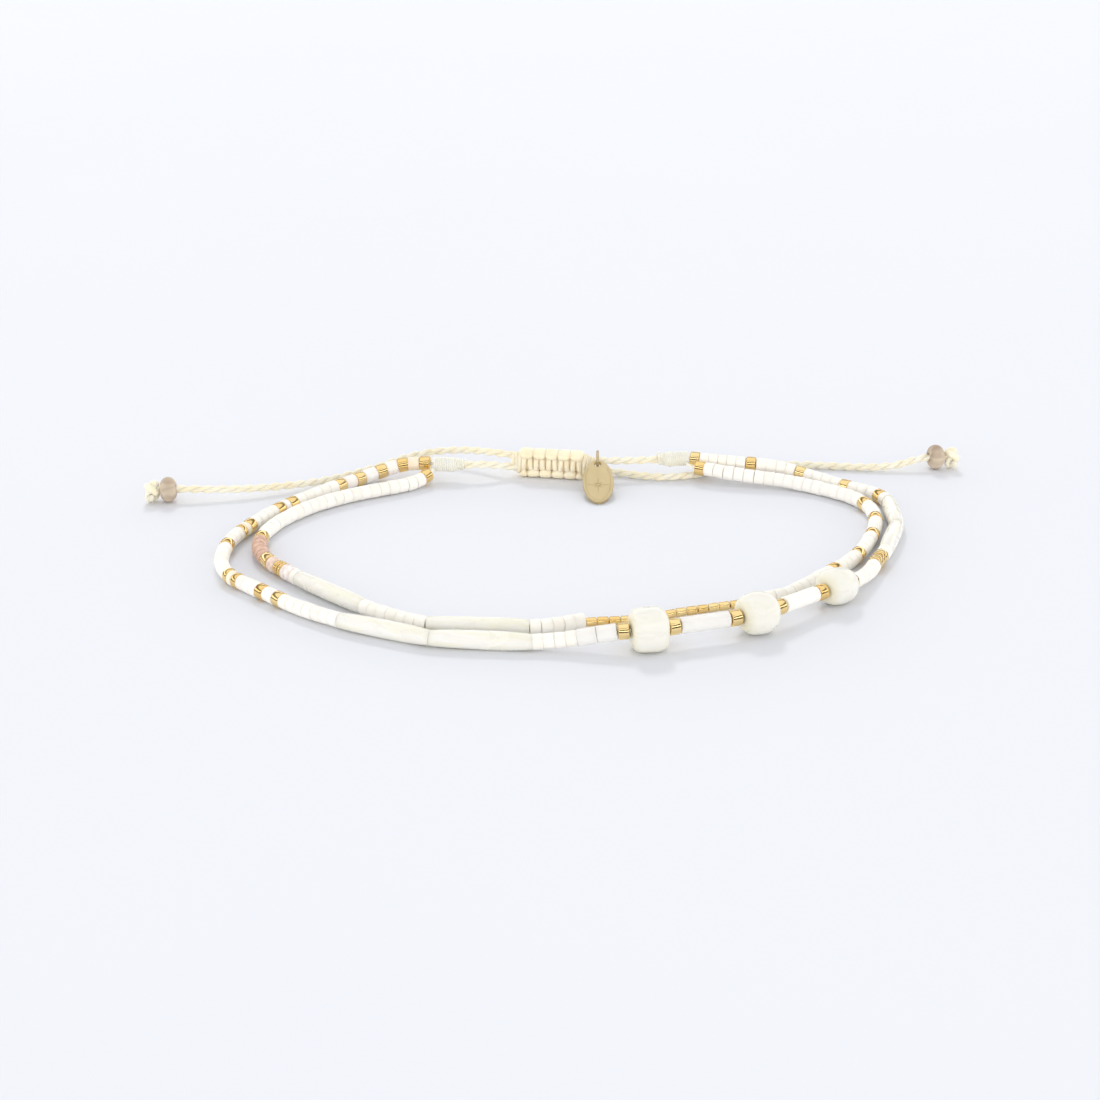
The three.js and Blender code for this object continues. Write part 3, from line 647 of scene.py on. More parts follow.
# %% Bars, loops and ends
def knot_bars(skin):
    """A bar in front and one behind at each half knot, leaning in turn."""
    chance = random.Random(12)
    deep = MACRAME["thickness"] / 2 - BAR["radius"]
    for i in range(2 * KNOTS):
        x = (i - KNOTS + 0.5) * PITCH
        lean = BAR["lean"] if i % 2 == 0 else -BAR["lean"]
        for face in (-1, 1):
            wander = chance.uniform(-BAR["wander"], BAR["wander"])
            bar = []
            for z in np.linspace(-EDGE, EDGE, 13):
                y = face * deep * (1 - BAR["bow"] * (abs(z) / EDGE) ** 2)
                bar.append(in_clasp(x + wander + lean * z / EDGE, y, z))
            skin.tube(np.array(bar), BAR["radius"] * MM, sides=12, flatten=BAR["flatten"])


def edge_loops(skin):
    """Flat loops over two half knots each, in turn along the top and the bottom edge."""
    chance = random.Random(14)
    shares = np.linspace(-1, 1, 13)
    girth = LOOP["depth"] * (1 - 0.3 * np.abs(shares) ** 5)
    for side, first in ((1, 0), (-1, 1)):
        for i in range(first - 2, 2 * KNOTS + 1, 2):
            low = max(-KNOTS * PITCH, (i - KNOTS) * PITCH)
            high = min(KNOTS * PITCH, (i - KNOTS + 2) * PITCH)
            if high - low < LOOP["shortest"]:
                continue
            reach = (high - low) / 2 - LOOP["spare"]
            sag = chance.uniform(-LOOP["sag"], LOOP["sag"])
            loop = []
            for s in shares:
                z = side * (EDGE + LOOP["spare"] - 0.1 * s**4) + sag * s
                loop.append(in_clasp((high + low) / 2 + reach * s, 0.0, z))
            skin.tube(np.array(loop), girth * MM, sides=16, flatten=LOOP["height"] / LOOP["depth"])


def core_and_ends(skin):
    """The cords inside the knots, and the last turns that draw in round them."""
    half = MACRAME["length"] / 2
    core = [in_clasp(x, 0, 0) for x in np.linspace(-half, half, 9)]
    skin.tube(np.array(core), CORE["radius"] * MM, sides=16, flatten=CORE["flatten"])
    for end in (-1, 1):
        for x, high in END_WRAPS:
            wrap = []
            for a in np.linspace(0, 2 * math.pi, 25):
                wrap.append(in_clasp(end * x + 0.12 * math.sin(a), 0.62 * math.cos(a), high * math.sin(a)))
            skin.tube(np.array(wrap), END_WRAP_RADIUS * MM)
        stub = np.array([in_clasp(end * x, 0, 0) for x, _ in END_CORE])
        skin.tube(stub, np.array([radius for _, radius in END_CORE]) * MM, flatten=CORE["flatten"])


clasp = Skin()
knot_bars(clasp)
edge_loops(clasp)
core_and_ends(clasp)
square_knots = clasp.piece("square_knots", KNOT_WORK)
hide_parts("macrame")

# %% [markdown]
# The two strings
# Each string follows its own route round the loop. The drilled beads already have their places in the
# frame, so the script asks each solid which run of the path it covers. What is left between them is
# filled with small white beads, as a beader fills a pattern.

# %% Routes of the strings
ON_TABLE, BY_SHELL, IN_NUGGET, OVER_CORD = 1.1, 1.2, 2.7, 2.45


def table(x, y):
    return at(x, y, ON_TABLE)


def by_shell(x, y):
    return at(x, y, BY_SHELL)


def by_nugget(x, y, share):
    return at(x, y, ON_TABLE + (IN_NUGGET - ON_TABLE) * share)


def by_clasp(x, y, share):
    return at(x, y, ON_TABLE + (OVER_CORD - ON_TABLE) * share)


STRINGS = {
    "outer": [
        by_clasp(-16.9, 27.0, 1), by_clasp(-21.4, 27.4, 0.75), by_clasp(-24.6, 26.4, 0.3), table(-27.7, 24.3),
        table(-30.6, 21.4), table(-33.9, 17.8), table(-36.8, 14.2), table(-39.3, 10.6), table(-41.6, 6.2),
        table(-43.4, 1.6), table(-44.1, -3.2), table(-43.7, -7.8), table(-42.0, -11.6), table(-39.4, -14.4),
        table(-36.3, -17.4), table(-32.0, -21.4), by_shell(-25.2, -26.2), by_shell(-18.7, -29.3),
        by_shell(-14.0, -30.9), by_shell(-8.5, -31.7), by_shell(-2.1, -31.8), by_nugget(3.3, -31.8, 0.4),
        by_nugget(6.2, -31.9, 0.75), by_nugget(9.1, -31.9, 1), by_nugget(12.4, -31.5, 1),
        by_nugget(15.8, -30.4, 1), by_nugget(19.6, -29.2, 1), by_nugget(23.4, -27.9, 1),
        by_nugget(26.3, -26.5, 1), by_nugget(29.3, -24.4, 1), by_nugget(31.9, -21.8, 0.95),
        by_nugget(34.5, -19.8, 0.85), by_nugget(37.0, -17.7, 0.78), by_nugget(39.7, -14.7, 0.5),
        by_nugget(41.9, -11.0, 0.15), table(43.8, -6.4), by_shell(46.0, -1.6), by_shell(47.9, 4.4),
        by_shell(48.7, 10.0), by_shell(48.4, 14.4), table(46.9, 17.8), table(44.5, 19.8), table(41.5, 22.1),
        by_clasp(37.9, 24.8, 0.2), by_clasp(33.9, 26.2, 0.7), by_clasp(30.0, 26.8, 0.95),
        by_clasp(25.9, 27.6, 1), by_clasp(22.6, 28.3, 1.05), by_clasp(20.0, 28.9, 1.1),
    ],
    "inner": [
        by_clasp(-16.9, 26.2, 0.7), by_clasp(-17.9, 24.7, 0.3), table(-19.8, 22.7), table(-23.2, 20.5),
        table(-27.4, 18.3), table(-31.5, 15.4), table(-35.2, 11.6), table(-38.0, 7.0), table(-39.4, 2.6),
        table(-39.4, -2.2), table(-37.7, -6.3), table(-35.2, -9.6), by_shell(-32.0, -13.5),
        by_shell(-28.4, -17.4), by_shell(-23.6, -21.5), table(-18.9, -24.7), by_shell(-14.6, -26.9),
        by_shell(-8.7, -27.9), by_shell(-2.6, -27.6), table(1.4, -26.5), table(4.6, -25.2), table(9.5, -24.6),
        table(12.9, -23.8), table(16.0, -22.4), table(19.8, -21.1), table(23.7, -19.8), table(27.0, -18.9),
        table(30.4, -17.4), table(33.9, -13.8), table(36.9, -10.3), table(39.3, -7.6), table(41.9, -3.4),
        table(44.4, 2.9), table(45.6, 8.6), table(45.2, 13.2), table(43.6, 16.4), table(40.9, 19.0),
        table(37.6, 21.3), by_clasp(33.6, 22.9, 0.2), by_clasp(29.2, 23.8, 0.4), by_clasp(25.2, 24.9, 0.6),
        by_clasp(23.0, 25.8, 0.65), by_clasp(20.9, 26.6, 0.7), by_clasp(20.0, 27.8, 0.9),
    ],
}
strings = {name: Path(points) for name, points in STRINGS.items()}
print({name: f"{path.length / MM:.1f} mm" for name, path in strings.items()})

# %% Which run of a string does each solid cover
DRILLED_NAMES = (
    "gold_bead", "shell", "long_shell", "front", "nugget", "side_shells", "accent", "gold_stack",
    "inner_gold", "rose_run",
)
DRILLED = [name for name in nodes if name.startswith(DRILLED_NAMES)]
ON_INNER = ("inner_gold", "rose_run", "shell_1", "shell_2")
END_CORNERS = 10


def string_of(name):
    return "inner" if name.startswith(ON_INNER) else "outer"


def corners(name):
    mesh = nodes[name].data
    points = np.empty(len(mesh.vertices) * 3, dtype=np.float32)
    mesh.vertices.foreach_get("co", points)
    return np.unique(points.reshape(-1, 3).round(7), axis=0)


def span(name, path):
    """The run of the path from one end face of the solid to the other."""
    runs = np.sort(path.nearest(corners(name)))
    return float(runs[:END_CORNERS].mean()), float(runs[-END_CORNERS:].mean())


def chord(name, length):
    """The direction of a drilled bead of this length in metres, as the string goes through it."""
    low, high = spans[string_of(name)][name]
    return strings[string_of(name)].along((low + high) / 2, length / 2)


spans = {"outer": {}, "inner": {}}
for name in DRILLED:
    spans[string_of(name)][name] = span(name, strings[string_of(name)])
for string, found in spans.items():
    in_order = sorted(found.items(), key=lambda item: item[1])
    print(string, {name: f"{a / MM:.1f}-{b / MM:.1f}" for name, (a, b) in in_order})

# %% [markdown]
# A bead by Geometry Nodes
# Every short bead is the same idea: a rounded rectangle swept round a circle, which leaves the bore
# open and the rims soft. The node tree sets such a bead on each point of a string, turned along it,
# with small chance differences in length, width and tilt that glass beads have. Inputs hold the sizes.


# %% A node tree at hand
class Tree:
    """A Geometry Nodes tree whose inputs are given as rows of name, kind and value."""

    def __init__(self, name, inputs):
        self.group = bpy.data.node_groups.new(name, "GeometryNodeTree")
        for title, kind, value in inputs:
            socket = self.group.interface.new_socket(title, in_out="INPUT", socket_type="NodeSocket" + kind)
            if value is not None:
                socket.default_value = value
        self.given = self.group.nodes.new("NodeGroupInput").outputs

    def add(self, kind, values, **settings):
        """A node with its settings and its inputs, linked or set; gives its first live output."""
        node = self.group.nodes.new(kind)
        for key, value in settings.items():
            setattr(node, key, value)
        for key, value in values.items():
            if isinstance(value, bpy.types.NodeSocket):
                self.group.links.new(value, node.inputs[key])
            else:
                node.inputs[key].default_value = value
        return next(output for output in node.outputs if output.enabled)

    def maths(self, how, a, b):
        return self.add("ShaderNodeMath", {0: a, 1: b}, operation=how)

    def chance(self, low, high, seed):
        """A random vector for each point."""
        limits = {"Min": low, "Max": high, "Seed": seed}
        return self.add("FunctionNodeRandomValue", limits, data_type="FLOAT_VECTOR")

    def scaled(self, vector, factor):
        return self.add("ShaderNodeVectorMath", {0: vector, "Scale": factor}, operation="SCALE")

    def named(self, name):
        return self.add("GeometryNodeInputNamedAttribute", {"Name": name}, data_type="FLOAT_VECTOR")

    def finish(self, geometry, material):
        """Realize the instances, set their material and hand the geometry out."""
        self.group.interface.new_socket("Beads", in_out="OUTPUT", socket_type="NodeSocketGeometry")
        solid = self.add("GeometryNodeRealizeInstances", {"Geometry": geometry})
        finished = self.add("GeometryNodeSetMaterial", {"Geometry": solid, "Material": material})
        self.group.links.new(finished, self.group.nodes.new("NodeGroupOutput").inputs[0])
        return self.group


# %% Beads on a string
BEAD_INPUTS = (
    ("Spots", "Geometry", None), ("Length", "Float", 1.45 * MM), ("Diameter", "Float", 2.0 * MM),
    ("Bore", "Float", 0.8 * MM), ("Edge", "Float", 0.2 * MM), ("Unevenness", "Float", 0.02),
    ("Seed", "Int", 1), ("Finish", "Material", None),
)
BEAD_SIDES = 26
EDGE_POINTS = 3


def one_bead(tree):
    """A rounded rectangle, as long as the bead and as thick as its wall, swept round the bore."""
    length, diameter, bore, edge = (tree.given[name] for name in ("Length", "Diameter", "Bore", "Edge"))
    wall = tree.maths("MULTIPLY", tree.maths("SUBTRACT", diameter, bore), 0.5)
    mean = tree.maths("MULTIPLY", tree.maths("ADD", diameter, bore), 0.25)
    turning = {"Resolution": BEAD_SIDES, "Radius": mean}
    circle = tree.add("GeometryNodeCurvePrimitiveCircle", turning, mode="RADIUS")
    section = tree.add("GeometryNodeCurvePrimitiveQuadrilateral", {"Width": wall, "Height": length})
    rounding = {"Curve": section, "Radius": edge, "Count": EDGE_POINTS}
    soft = tree.add("GeometryNodeFilletCurve", rounding, mode="POLY")
    swept = tree.add("GeometryNodeCurveToMesh", {"Curve": circle, "Profile Curve": soft})
    return tree.add("GeometryNodeSetShadeSmooth", {"Geometry": swept})


def bead_tree():
    tree = Tree("beads_on_a_string", BEAD_INPUTS)
    unevenness, seed = tree.given["Unevenness"], tree.given["Seed"]
    aligned = tree.add("FunctionNodeAlignRotationToVector", {"Vector": tree.named("along")}, axis="Z")
    lean = tree.scaled(tree.chance((-1.0, -1.0, 0.0), (1.0, 1.0, 6.28), seed), unevenness)
    leaning = {"Rotation": aligned, "Rotate By": lean}
    tilt = tree.add("FunctionNodeRotateRotation", leaning, rotation_space="LOCAL")
    odd = tree.chance((-1.0, -1.0, -1.0), (1.0, 1.0, 1.0), tree.maths("ADD", seed, 7.0))
    sizes = {0: tree.named("size"), 1: tree.scaled(odd, unevenness)}
    scale = tree.add("ShaderNodeVectorMath", sizes, operation="ADD")
    placing = {"Points": tree.given["Spots"], "Instance": one_bead(tree), "Rotation": tilt, "Scale": scale}
    placed = tree.add("GeometryNodeInstanceOnPoints", placing)
    tone = tree.add("FunctionNodeRandomValue", {"Seed": tree.maths("ADD", seed, 13.0)}, data_type="FLOAT")
    marking = {"Geometry": placed, "Name": "tone", "Value": tone}
    marked = tree.add("GeometryNodeStoreNamedAttribute", marking, data_type="FLOAT", domain="INSTANCE")
    return tree.finish(marked, tree.given["Finish"])


BEAD_TREE = bead_tree()
print("bead tree:", len(BEAD_TREE.nodes), "nodes")

# %% Run the tree on a list of spots
PLAIN = (1.0, 1.0, 1.0)


def spot(place, way, stretch=1.0, tint=PLAIN):
    """Where a bead goes: its place, its direction, how far it is stretched, and its tint."""
    return place, way, stretch, tint


def string_beads(name, spots, finish, length, diameter, bore=0.85, edge=0.2, uneven=0.02, seed=1):
    """One mesh with a bead on each spot; sizes in millimetres."""
    places, ways, stretches, tints = zip(*spots)
    mesh = bpy.data.meshes.new(name)
    mesh.from_pydata([tuple(place) for place in places], [], [])
    marks = {"along": ways, "size": [(1.0, 1.0, stretch) for stretch in stretches], "tint": tints}
    for mark, values in marks.items():
        layer = mesh.attributes.new(mark, "FLOAT_VECTOR", "POINT")
        layer.data.foreach_set("vector", np.array(values, dtype=np.float32).ravel())
    holder = bpy.data.objects.new(name + "_spots", mesh)
    bpy.context.scene.collection.objects.link(holder)
    modifier = holder.modifiers.new("beads", "NODES")
    modifier.node_group = BEAD_TREE
    values = {
        "Length": length * MM, "Diameter": diameter * MM, "Bore": bore * MM, "Edge": edge * MM,
        "Unevenness": uneven, "Seed": seed, "Finish": finish,
    }
    for item in BEAD_TREE.interface.items_tree:
        if item.in_out == "INPUT" and item.name in values:
            modifier[item.identifier] = values[item.name]
    evaluated = holder.evaluated_get(bpy.context.evaluated_depsgraph_get())
    beads = bpy.data.meshes.new_from_object(evaluated)
    beads.name = name
    holder.modifiers.remove(modifier)
    bpy.data.objects.remove(holder)
    return dress(name, beads)


# %% [markdown]
# White beads
# The small white beads are opaque glass with a soft silky shine. No two are quite alike: some lean to
# cream, and some patches are a little duller. A faint glow under the surface keeps their shadows pale.


# %% White glass
def white_glass():
    glass = Finish("white_glass")
    glass.set(Subsurface_Weight=0.3, Subsurface_Scale=0.001, Subsurface_Radius=(1.0, 0.97, 0.9))
    glass.set(Coat_Weight=0.2, Coat_Roughness=0.25)
    creamy, white = (0.955, 0.905, 0.81), (0.975, 0.935, 0.86)
    tone = glass.ramp(glass.attribute("tone", "Fac"), (0.0, creamy), (0.6, white))
    cloud = glass.ramp(glass.noise(900.0, detail=2.0), (0.35, (0.985, 0.98, 0.97)), (0.65, (1.0, 1.0, 1.0)))
    glass.colour(glass.blend(1.0, tone, cloud))
    glass.roughness(glass.spread(glass.noise(2600.0, detail=2.0), 0.3, 0.5))
    return glass.material


WHITE = white_glass()

# %% Fill the free runs with white beads
SEED_PITCH = 1.5 * MM
SEED_BEAD = {"length": 1.46, "diameter": 2.0, "edge": 0.13, "uneven": 0.035}
SEED_REACH = 0.7 * MM
PRESSED = 0.01 * MM
OUTER, INNER = strings["outer"], strings["inner"]
CHAIN_LOW, CHAIN_HIGH = span("gold_chain", INNER)
FREE_RUNS = {
    "outer_string": ("outer", 0.5 * MM, OUTER.length - 0.5 * MM),
    "inner_string_left": ("inner", 1.4 * MM, CHAIN_LOW - 0.2 * MM),
    "inner_string_right": ("inner", CHAIN_HIGH + 0.2 * MM, INNER.length - 1.9 * MM),
}


def white_spots(path, stops, start, end):
    """Evenly spread spots for white beads in the runs that no stop covers."""
    spots = []
    cursor = start
    for low, high in [*sorted(stops), (end, end)]:
        free = low - cursor
        count = round(free / SEED_PITCH)
        for i in range(count):
            run = cursor + free * (i + 0.5) / count
            stretch = (free / count + PRESSED) / (SEED_BEAD["length"] * MM)
            spots.append(spot(path.at(run), path.along(run, SEED_REACH), stretch))
        cursor = high
    return spots


for name, (string, start, end) in FREE_RUNS.items():
    stops = [stop for stop in spans[string].values() if start < stop[0] < end]
    spots = white_spots(strings[string], stops, start, end)
    piece = string_beads(f"white_beads_{name}", spots, WHITE, **SEED_BEAD, seed=len(spots))
    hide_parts(name)
    print(f"{name}: {len(spots)} white beads")

# %% The thread inside
thread = Skin()
for path in strings.values():
    thread.tube(path.line(0.1 * MM, path.length - 0.1 * MM, 0.6 * MM), 0.22 * MM, sides=8)
thread.piece("stringing_thread", BINDING)

# %% [markdown]
# Gold beads
# The gold beads are cut from fine tube and plated: mirror bright, with crisp rims that catch a thin
# line of light. Between two gold beads the plating looks deeper, almost orange, because it mirrors
# itself. A very fine unevenness in the plating keeps the mirrors from looking like plastic.


# %% Gold plate
def gold_plate():
    gold = Finish("gold_plate")
    gold.set(Metallic=1.0)
    tone = gold.attribute("tone", "Fac")
    gold.colour(gold.ramp(tone, (0.0, (0.92, 0.63, 0.24)), (1.0, (0.97, 0.76, 0.38))))
    ripple = gold.noise(1500.0, detail=3.0)
    gold.roughness(gold.spread(ripple, 0.05, 0.14))
    gold.bump(ripple, 0.00001, strength=0.5)
    return gold.material


GOLD = gold_plate()
GOLD_BEAD = {"length": 1.4, "diameter": 2.1, "edge": 0.16, "uneven": 0.015}
SPACER_LENGTH = 0.8
print(f"gold beads {GOLD_BEAD['length']} mm long, spacers {SPACER_LENGTH} mm")

# %% [markdown]
# Rows of mixed beads
# Short rows mix gold with nude, cream and rose glass. Each row in the frame is one solid, so a small
# chart gives its beads in order, from the left whipping onwards: kind, length and colour. Lengths are
# shared out over the row's own run, so a row always fits the solid that it stands for.

# %% Charts of the rows
NUDE = (0.93, 0.80, 0.64)
BLUSH = (0.97, 0.90, 0.86)
PALE = (0.97, 0.94, 0.91)
CREAM = (0.95, 0.87, 0.71)
ROSE = (0.72, 0.48, 0.37)
PINK = (0.88, 0.70, 0.61)
GLASSY = (0.95, 0.88, 0.84)
GOLD_CUT = ("gold", 1.4)
GOLD_SPACER = ("gold", 0.8)
GOLD_RING = ("gold", 0.34)
ROWS = {
    "accent_run": [
        GOLD_CUT, (NUDE, 1.6), GOLD_CUT, (BLUSH, 1.6), GOLD_CUT, (PALE, 2.0), GOLD_CUT, (BLUSH, 2.0),
        GOLD_CUT,
    ],
    "accent_pair_1": [GOLD_CUT, (PALE, 0.9), GOLD_CUT],
    "accent_pair_2": [GOLD_CUT, (CREAM, 0.9), GOLD_SPACER],
    "accent_pair_3": [GOLD_SPACER, (CREAM, 0.9), GOLD_SPACER],
    "gold_stack": [GOLD_SPACER] * 4,
    "rose_run": [GOLD_CUT, *[(ROSE, 1.1)] * 5, GOLD_CUT, (PINK, 1.6), *[GOLD_RING] * 3, (GLASSY, 2.3)],
}
print("rows:", {name: len(chart) for name, chart in ROWS.items()})

# %% Share each row out over its run
BEAD_GAP = 0.2
GOLD_SNUG = 0.1
GLASS_SNUG = 0.12
ROW_REACH = 0.6 * MM
TINTED_LENGTH = 1.6


def row_spots(name):
    """Spots for the gold beads and the glass beads of a row."""
    path = strings[string_of(name)]
    low, high = spans[string_of(name)][name]
    chart = ROWS[name]
    total = sum(length for _, length in chart) + BEAD_GAP * (len(chart) - 1)
    unit = (high - low) / total
    run = low
    gold, glass = [], []
    for kind, length in chart:
        middle = run + length * unit / 2
        way = path.along(middle, ROW_REACH)
        if kind == "gold":
            gold.append(spot(path.at(middle), way, (length + GOLD_SNUG) / GOLD_BEAD["length"]))
        else:
            snug = 0.0 if kind == ROSE else GLASS_SNUG
            glass.append(spot(path.at(middle), way, (length + snug) / TINTED_LENGTH, kind))
        run += (length + BEAD_GAP) * unit
    return gold, glass


gold_spots, tinted_spots, rose_spots = [], [], []
for name in ROWS:
    gold, glass = row_spots(name)
    gold_spots += gold
    (rose_spots if name == "rose_run" else tinted_spots).extend(glass)

# %% Gold beads of the rows and between them
singles = [name for name in DRILLED if ("gold" in name or "spacer" in name) and name not in ROWS]
for name in singles:
    stretch = SPACER_LENGTH / GOLD_BEAD["length"] if "spacer" in name else 1.0
    gold_spots.append(spot(centre_of(name), chord(name, GOLD_BEAD["length"] * MM), stretch))
gold_beads = string_beads("gold_beads", gold_spots, GOLD, **GOLD_BEAD, seed=5)
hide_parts(*singles, *[name for name in ROWS if name != "rose_run"])


# %% Tinted and rose glass
TINTED_BEAD = {"length": TINTED_LENGTH, "diameter": 2.05}
ROSE_BEAD = {"length": TINTED_LENGTH, "diameter": 2.08, "edge": 0.26, "uneven": 0.03}


def tinted_glass(name, roughness, speckle):
    glass = Finish(name)
    glass.set(Subsurface_Weight=0.3, Subsurface_Scale=0.0008, Subsurface_Radius=(1.0, 0.8, 0.6))
    glass.set(Coat_Weight=0.3, Coat_Roughness=0.15)
    fleck = glass.ramp(glass.noise(1800.0, detail=4.0), (0.4, speckle), (0.6, (1.0, 1.0, 1.0)))
    glass.colour(glass.blend(1.0, glass.attribute("tint", "Color"), fleck))
    glass.roughness(glass.spread(glass.noise(2600.0), roughness - 0.06, roughness + 0.08))
    return glass.material


TINTED = tinted_glass("tinted_glass", 0.32, (0.95, 0.93, 0.9))
ROSE_GLASS = tinted_glass("rose_glass", 0.38, (0.8, 0.74, 0.7))
tinted = string_beads("tinted_beads", tinted_spots, TINTED, **TINTED_BEAD, seed=9)
rose = string_beads("rose_beads", rose_spots, ROSE_GLASS, **ROSE_BEAD, seed=11)
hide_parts("rose_run")

# %% [markdown]
# The run of tiny gold beads
# Part of the inner string is tiny gold beads, little more than half as thick as the white ones.
# They lie low beside the nuggets. Each is turned a little by chance, so that their rims flash in turn.

# %% Tiny gold beads
CHAIN_BEAD = {"length": 1.46, "diameter": 1.16, "bore": 0.5, "edge": 0.18, "uneven": 0.03}
CHAIN_HEIGHT = 0.8


def chain_spots():
    """Spots side by side along the run, low on the table, each turned a little by chance."""
    count = round((CHAIN_HIGH - CHAIN_LOW) / (CHAIN_BEAD["length"] * MM))
    chance = random.Random(3)
    spots = []
    for i in range(count):
        run = CHAIN_LOW + (CHAIN_HIGH - CHAIN_LOW) * (i + 0.5) / count
        place = INNER.at(run)
        place[2] = CHAIN_HEIGHT * MM
        way = INNER.along(run, SEED_REACH) + np.array([0, chance.uniform(-0.08, 0.08), 0])
        spots.append(spot(place, way, chance.uniform(0.93, 1.0)))
    return spots


chain = string_beads("tiny_gold_beads", chain_spots(), GOLD, **CHAIN_BEAD, seed=21)
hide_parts("gold_chain")

# %% [markdown]
# Shell and nuggets
# The long beads and the three nuggets are cut from shell. Mother-of-pearl is layered: pale cream with
# soft yellow bands that drift through it, light that sinks in, and a silky polish. Each one is turned
# first and then pushed in and out by a slow noise, since tumbled shell is never quite round.


# %% Mother-of-pearl
def mother_of_pearl(name, streaks, tones):
    pearl = Finish(name)
    pearl.set(Subsurface_Weight=0.45, Subsurface_Scale=0.0018, Subsurface_Radius=(1.0, 0.94, 0.8))
    pearl.set(Coat_Weight=0.5, Coat_Roughness=0.12)
    layers = pearl.noise(260.0, detail=4.0, stretch=(0.6, 1.0, 1.6), distortion=1.4)
    milk = pearl.ramp(layers, *zip((0.3, 0.55, 0.75), tones))
    growth = pearl.noise(1.0, detail=3.0, source="UV", stretch=(7.0, 0.16, 1.0), distortion=0.5)
    streak = pearl.ramp(growth, (0.42, (0.93, 0.915, 0.74)), (0.56, (1.0, 1.0, 1.0)))
    body = pearl.blend(streaks, milk, streak)
    # Painted glow: yellower at the drilled ends and towards the underside, for light through the shell's
    # edges.
    painted_glow = pearl.attribute("painted_glow", "Fac")
    rim = pearl.ramp(painted_glow, (0.15, (1.0, 1.0, 1.0)), (0.9, (0.96, 0.93, 0.76)))
    pearl.colour(pearl.blend(0.85, body, rim))
    pearl.roughness(pearl.spread(layers, 0.2, 0.36))
    pearl.bump(pearl.noise(700.0, detail=2.0), 0.00002, strength=0.4)
    return pearl.material


NUGGET_TONES = [(0.795, 0.775, 0.70), (0.80, 0.785, 0.72), (0.81, 0.80, 0.75)]
RIVER_TONES = [(0.86, 0.83, 0.765), (0.87, 0.85, 0.785), (0.88, 0.86, 0.815)]
PEARL = mother_of_pearl("mother_of_pearl", 0.05, NUGGET_TONES)
RIVER_SHELL = mother_of_pearl("river_shell", 0.5, RIVER_TONES)
print("finishes:", PEARL.name, RIVER_SHELL.name)


# %% A drilled pebble
PEBBLE_RINGS = 27
WANDER = 0.05


def pebble(skin, middle, way, length, width, height, profile, squareness, key, sides=40, bore=0.45):
    """Section rings along an axis, swelled by the profile and pushed by slow noise, round a bore."""
    side, up = square_to(way)
    angle = np.linspace(0, 2 * math.pi, sides, endpoint=False)
    c, s = np.cos(angle), np.sin(angle)
    round_off = (np.abs(c) ** squareness + np.abs(s) ** squareness) ** (-1 / squareness)

    def ring(share, wide, high):
        centre = middle + way * share * length / 2 * MM
        return centre + (wide * c / 2 * MM)[:, None] * side + (high * s / 2 * MM)[:, None] * up

    def push(share):
        """How far slow noise moves each side of a ring in or out."""
        shift = Vector((key * 7.0, 0, 0))
        places = [Vector((share * 1.3, c[k] * 0.9, s[k] * 0.9)) + shift for k in range(sides)]
        return 1.0 + WANDER * np.array([noise.noise(place) for place in places])

    outside = np.sin(np.linspace(-math.pi / 2, math.pi / 2, PEBBLE_RINGS))
    rings = []
    for share in outside:
        swell = profile(share) * round_off * push(share)
        rings.append(ring(share, swell * width, swell * height))
    for share in (1.0, -1.0):
        rings.append(ring(share, bore, bore))
    lengths = np.array([*outside, 1.0, -1.0]) * length / 2
    skin.rings(np.array(rings), lengths.tolist(), closed=True)


def paint_edge_glow(mesh, middle, way, length, height, glow_strength):
    """Painted glow of light through the shell: yellower at the drilled ends and towards the underside."""
    places = np.array([vertex.co[:] for vertex in mesh.vertices]) - middle
    ends = np.abs(places @ way) / (length / 2 * MM)
    below = np.maximum(0, -places[:, 2] / (height / 2 * MM))
    painted_glow = np.clip(glow_strength * (ends**4 + below**2.5), 0, 1)
    mark = mesh.attributes.new("painted_glow", "FLOAT", "POINT")
    mark.data.foreach_set("value", painted_glow.astype(np.float32))


def shell_bead(name, title, finish, sizes, glow_strength, **shape):
    """One drilled piece of shell in the place of its solid; sizes are length, width and height."""
    middle = centre_of(name)
    way = chord(name, sizes[0] * MM)
    skin = Skin()
    pebble(skin, middle, way, *sizes, **shape)
    piece = skin.piece(title, finish)
    paint_edge_glow(piece.data, middle, way, sizes[0], sizes[2], glow_strength)
    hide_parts(name)


# %% Three nuggets
NUGGETS = {
    "nugget_1": {"sizes": (4.6, 5.0, 5.4), "squareness": 2.9, "belly": 3.2},
    "nugget_2": {"sizes": (4.8, 5.5, 5.2), "squareness": 2.3, "belly": 2.5},
    "nugget_3": {"sizes": (4.8, 4.8, 4.7), "squareness": 2.3, "belly": 2.6},
}


def bellied(belly):
    """A swell that is full in the middle and draws in to flat drilled ends."""
    return lambda share: 0.36 + 0.64 * (1 - min(1.0, abs(share)) ** belly) ** (1 / belly)


for key, (name, nugget) in enumerate(NUGGETS.items()):
    shape = {"profile": bellied(nugget["belly"]), "squareness": nugget["squareness"], "key": key + 1}
    shell_bead(name, f"pearl_{name}", PEARL, nugget["sizes"], 0.75, **shape)

# %% Long shell beads
SHELL = {"length": 13.0, "side_length": 9.4, "width": 2.3, "height": 2.4}


def slim(share):
    """An almost straight tube that draws in at both ends."""
    return 0.82 + 0.18 * (1 - abs(share) ** 3.2)


for key, name in enumerate(sorted(name for name in DRILLED if "shell" in name)):
    length = SHELL["side_length"] if "side" in name else SHELL["length"]
    shape = {"profile": slim, "squareness": 2.0, "key": key + 11, "sides": 28, "bore": 0.7}
    sizes = (length, SHELL["width"], SHELL["height"])
    shell_bead(name, f"long_bead_{name}", RIVER_SHELL, sizes, 0.35, **shape)

# %% [markdown]
# Clear and white tubes
# Between the nuggets are two longer glass tubes, and beside the first one two short clear beads with a
# faint pearly sheen. The clear ones are milky and let only a little light through, so that they
# still read as pale glass against the pale table.


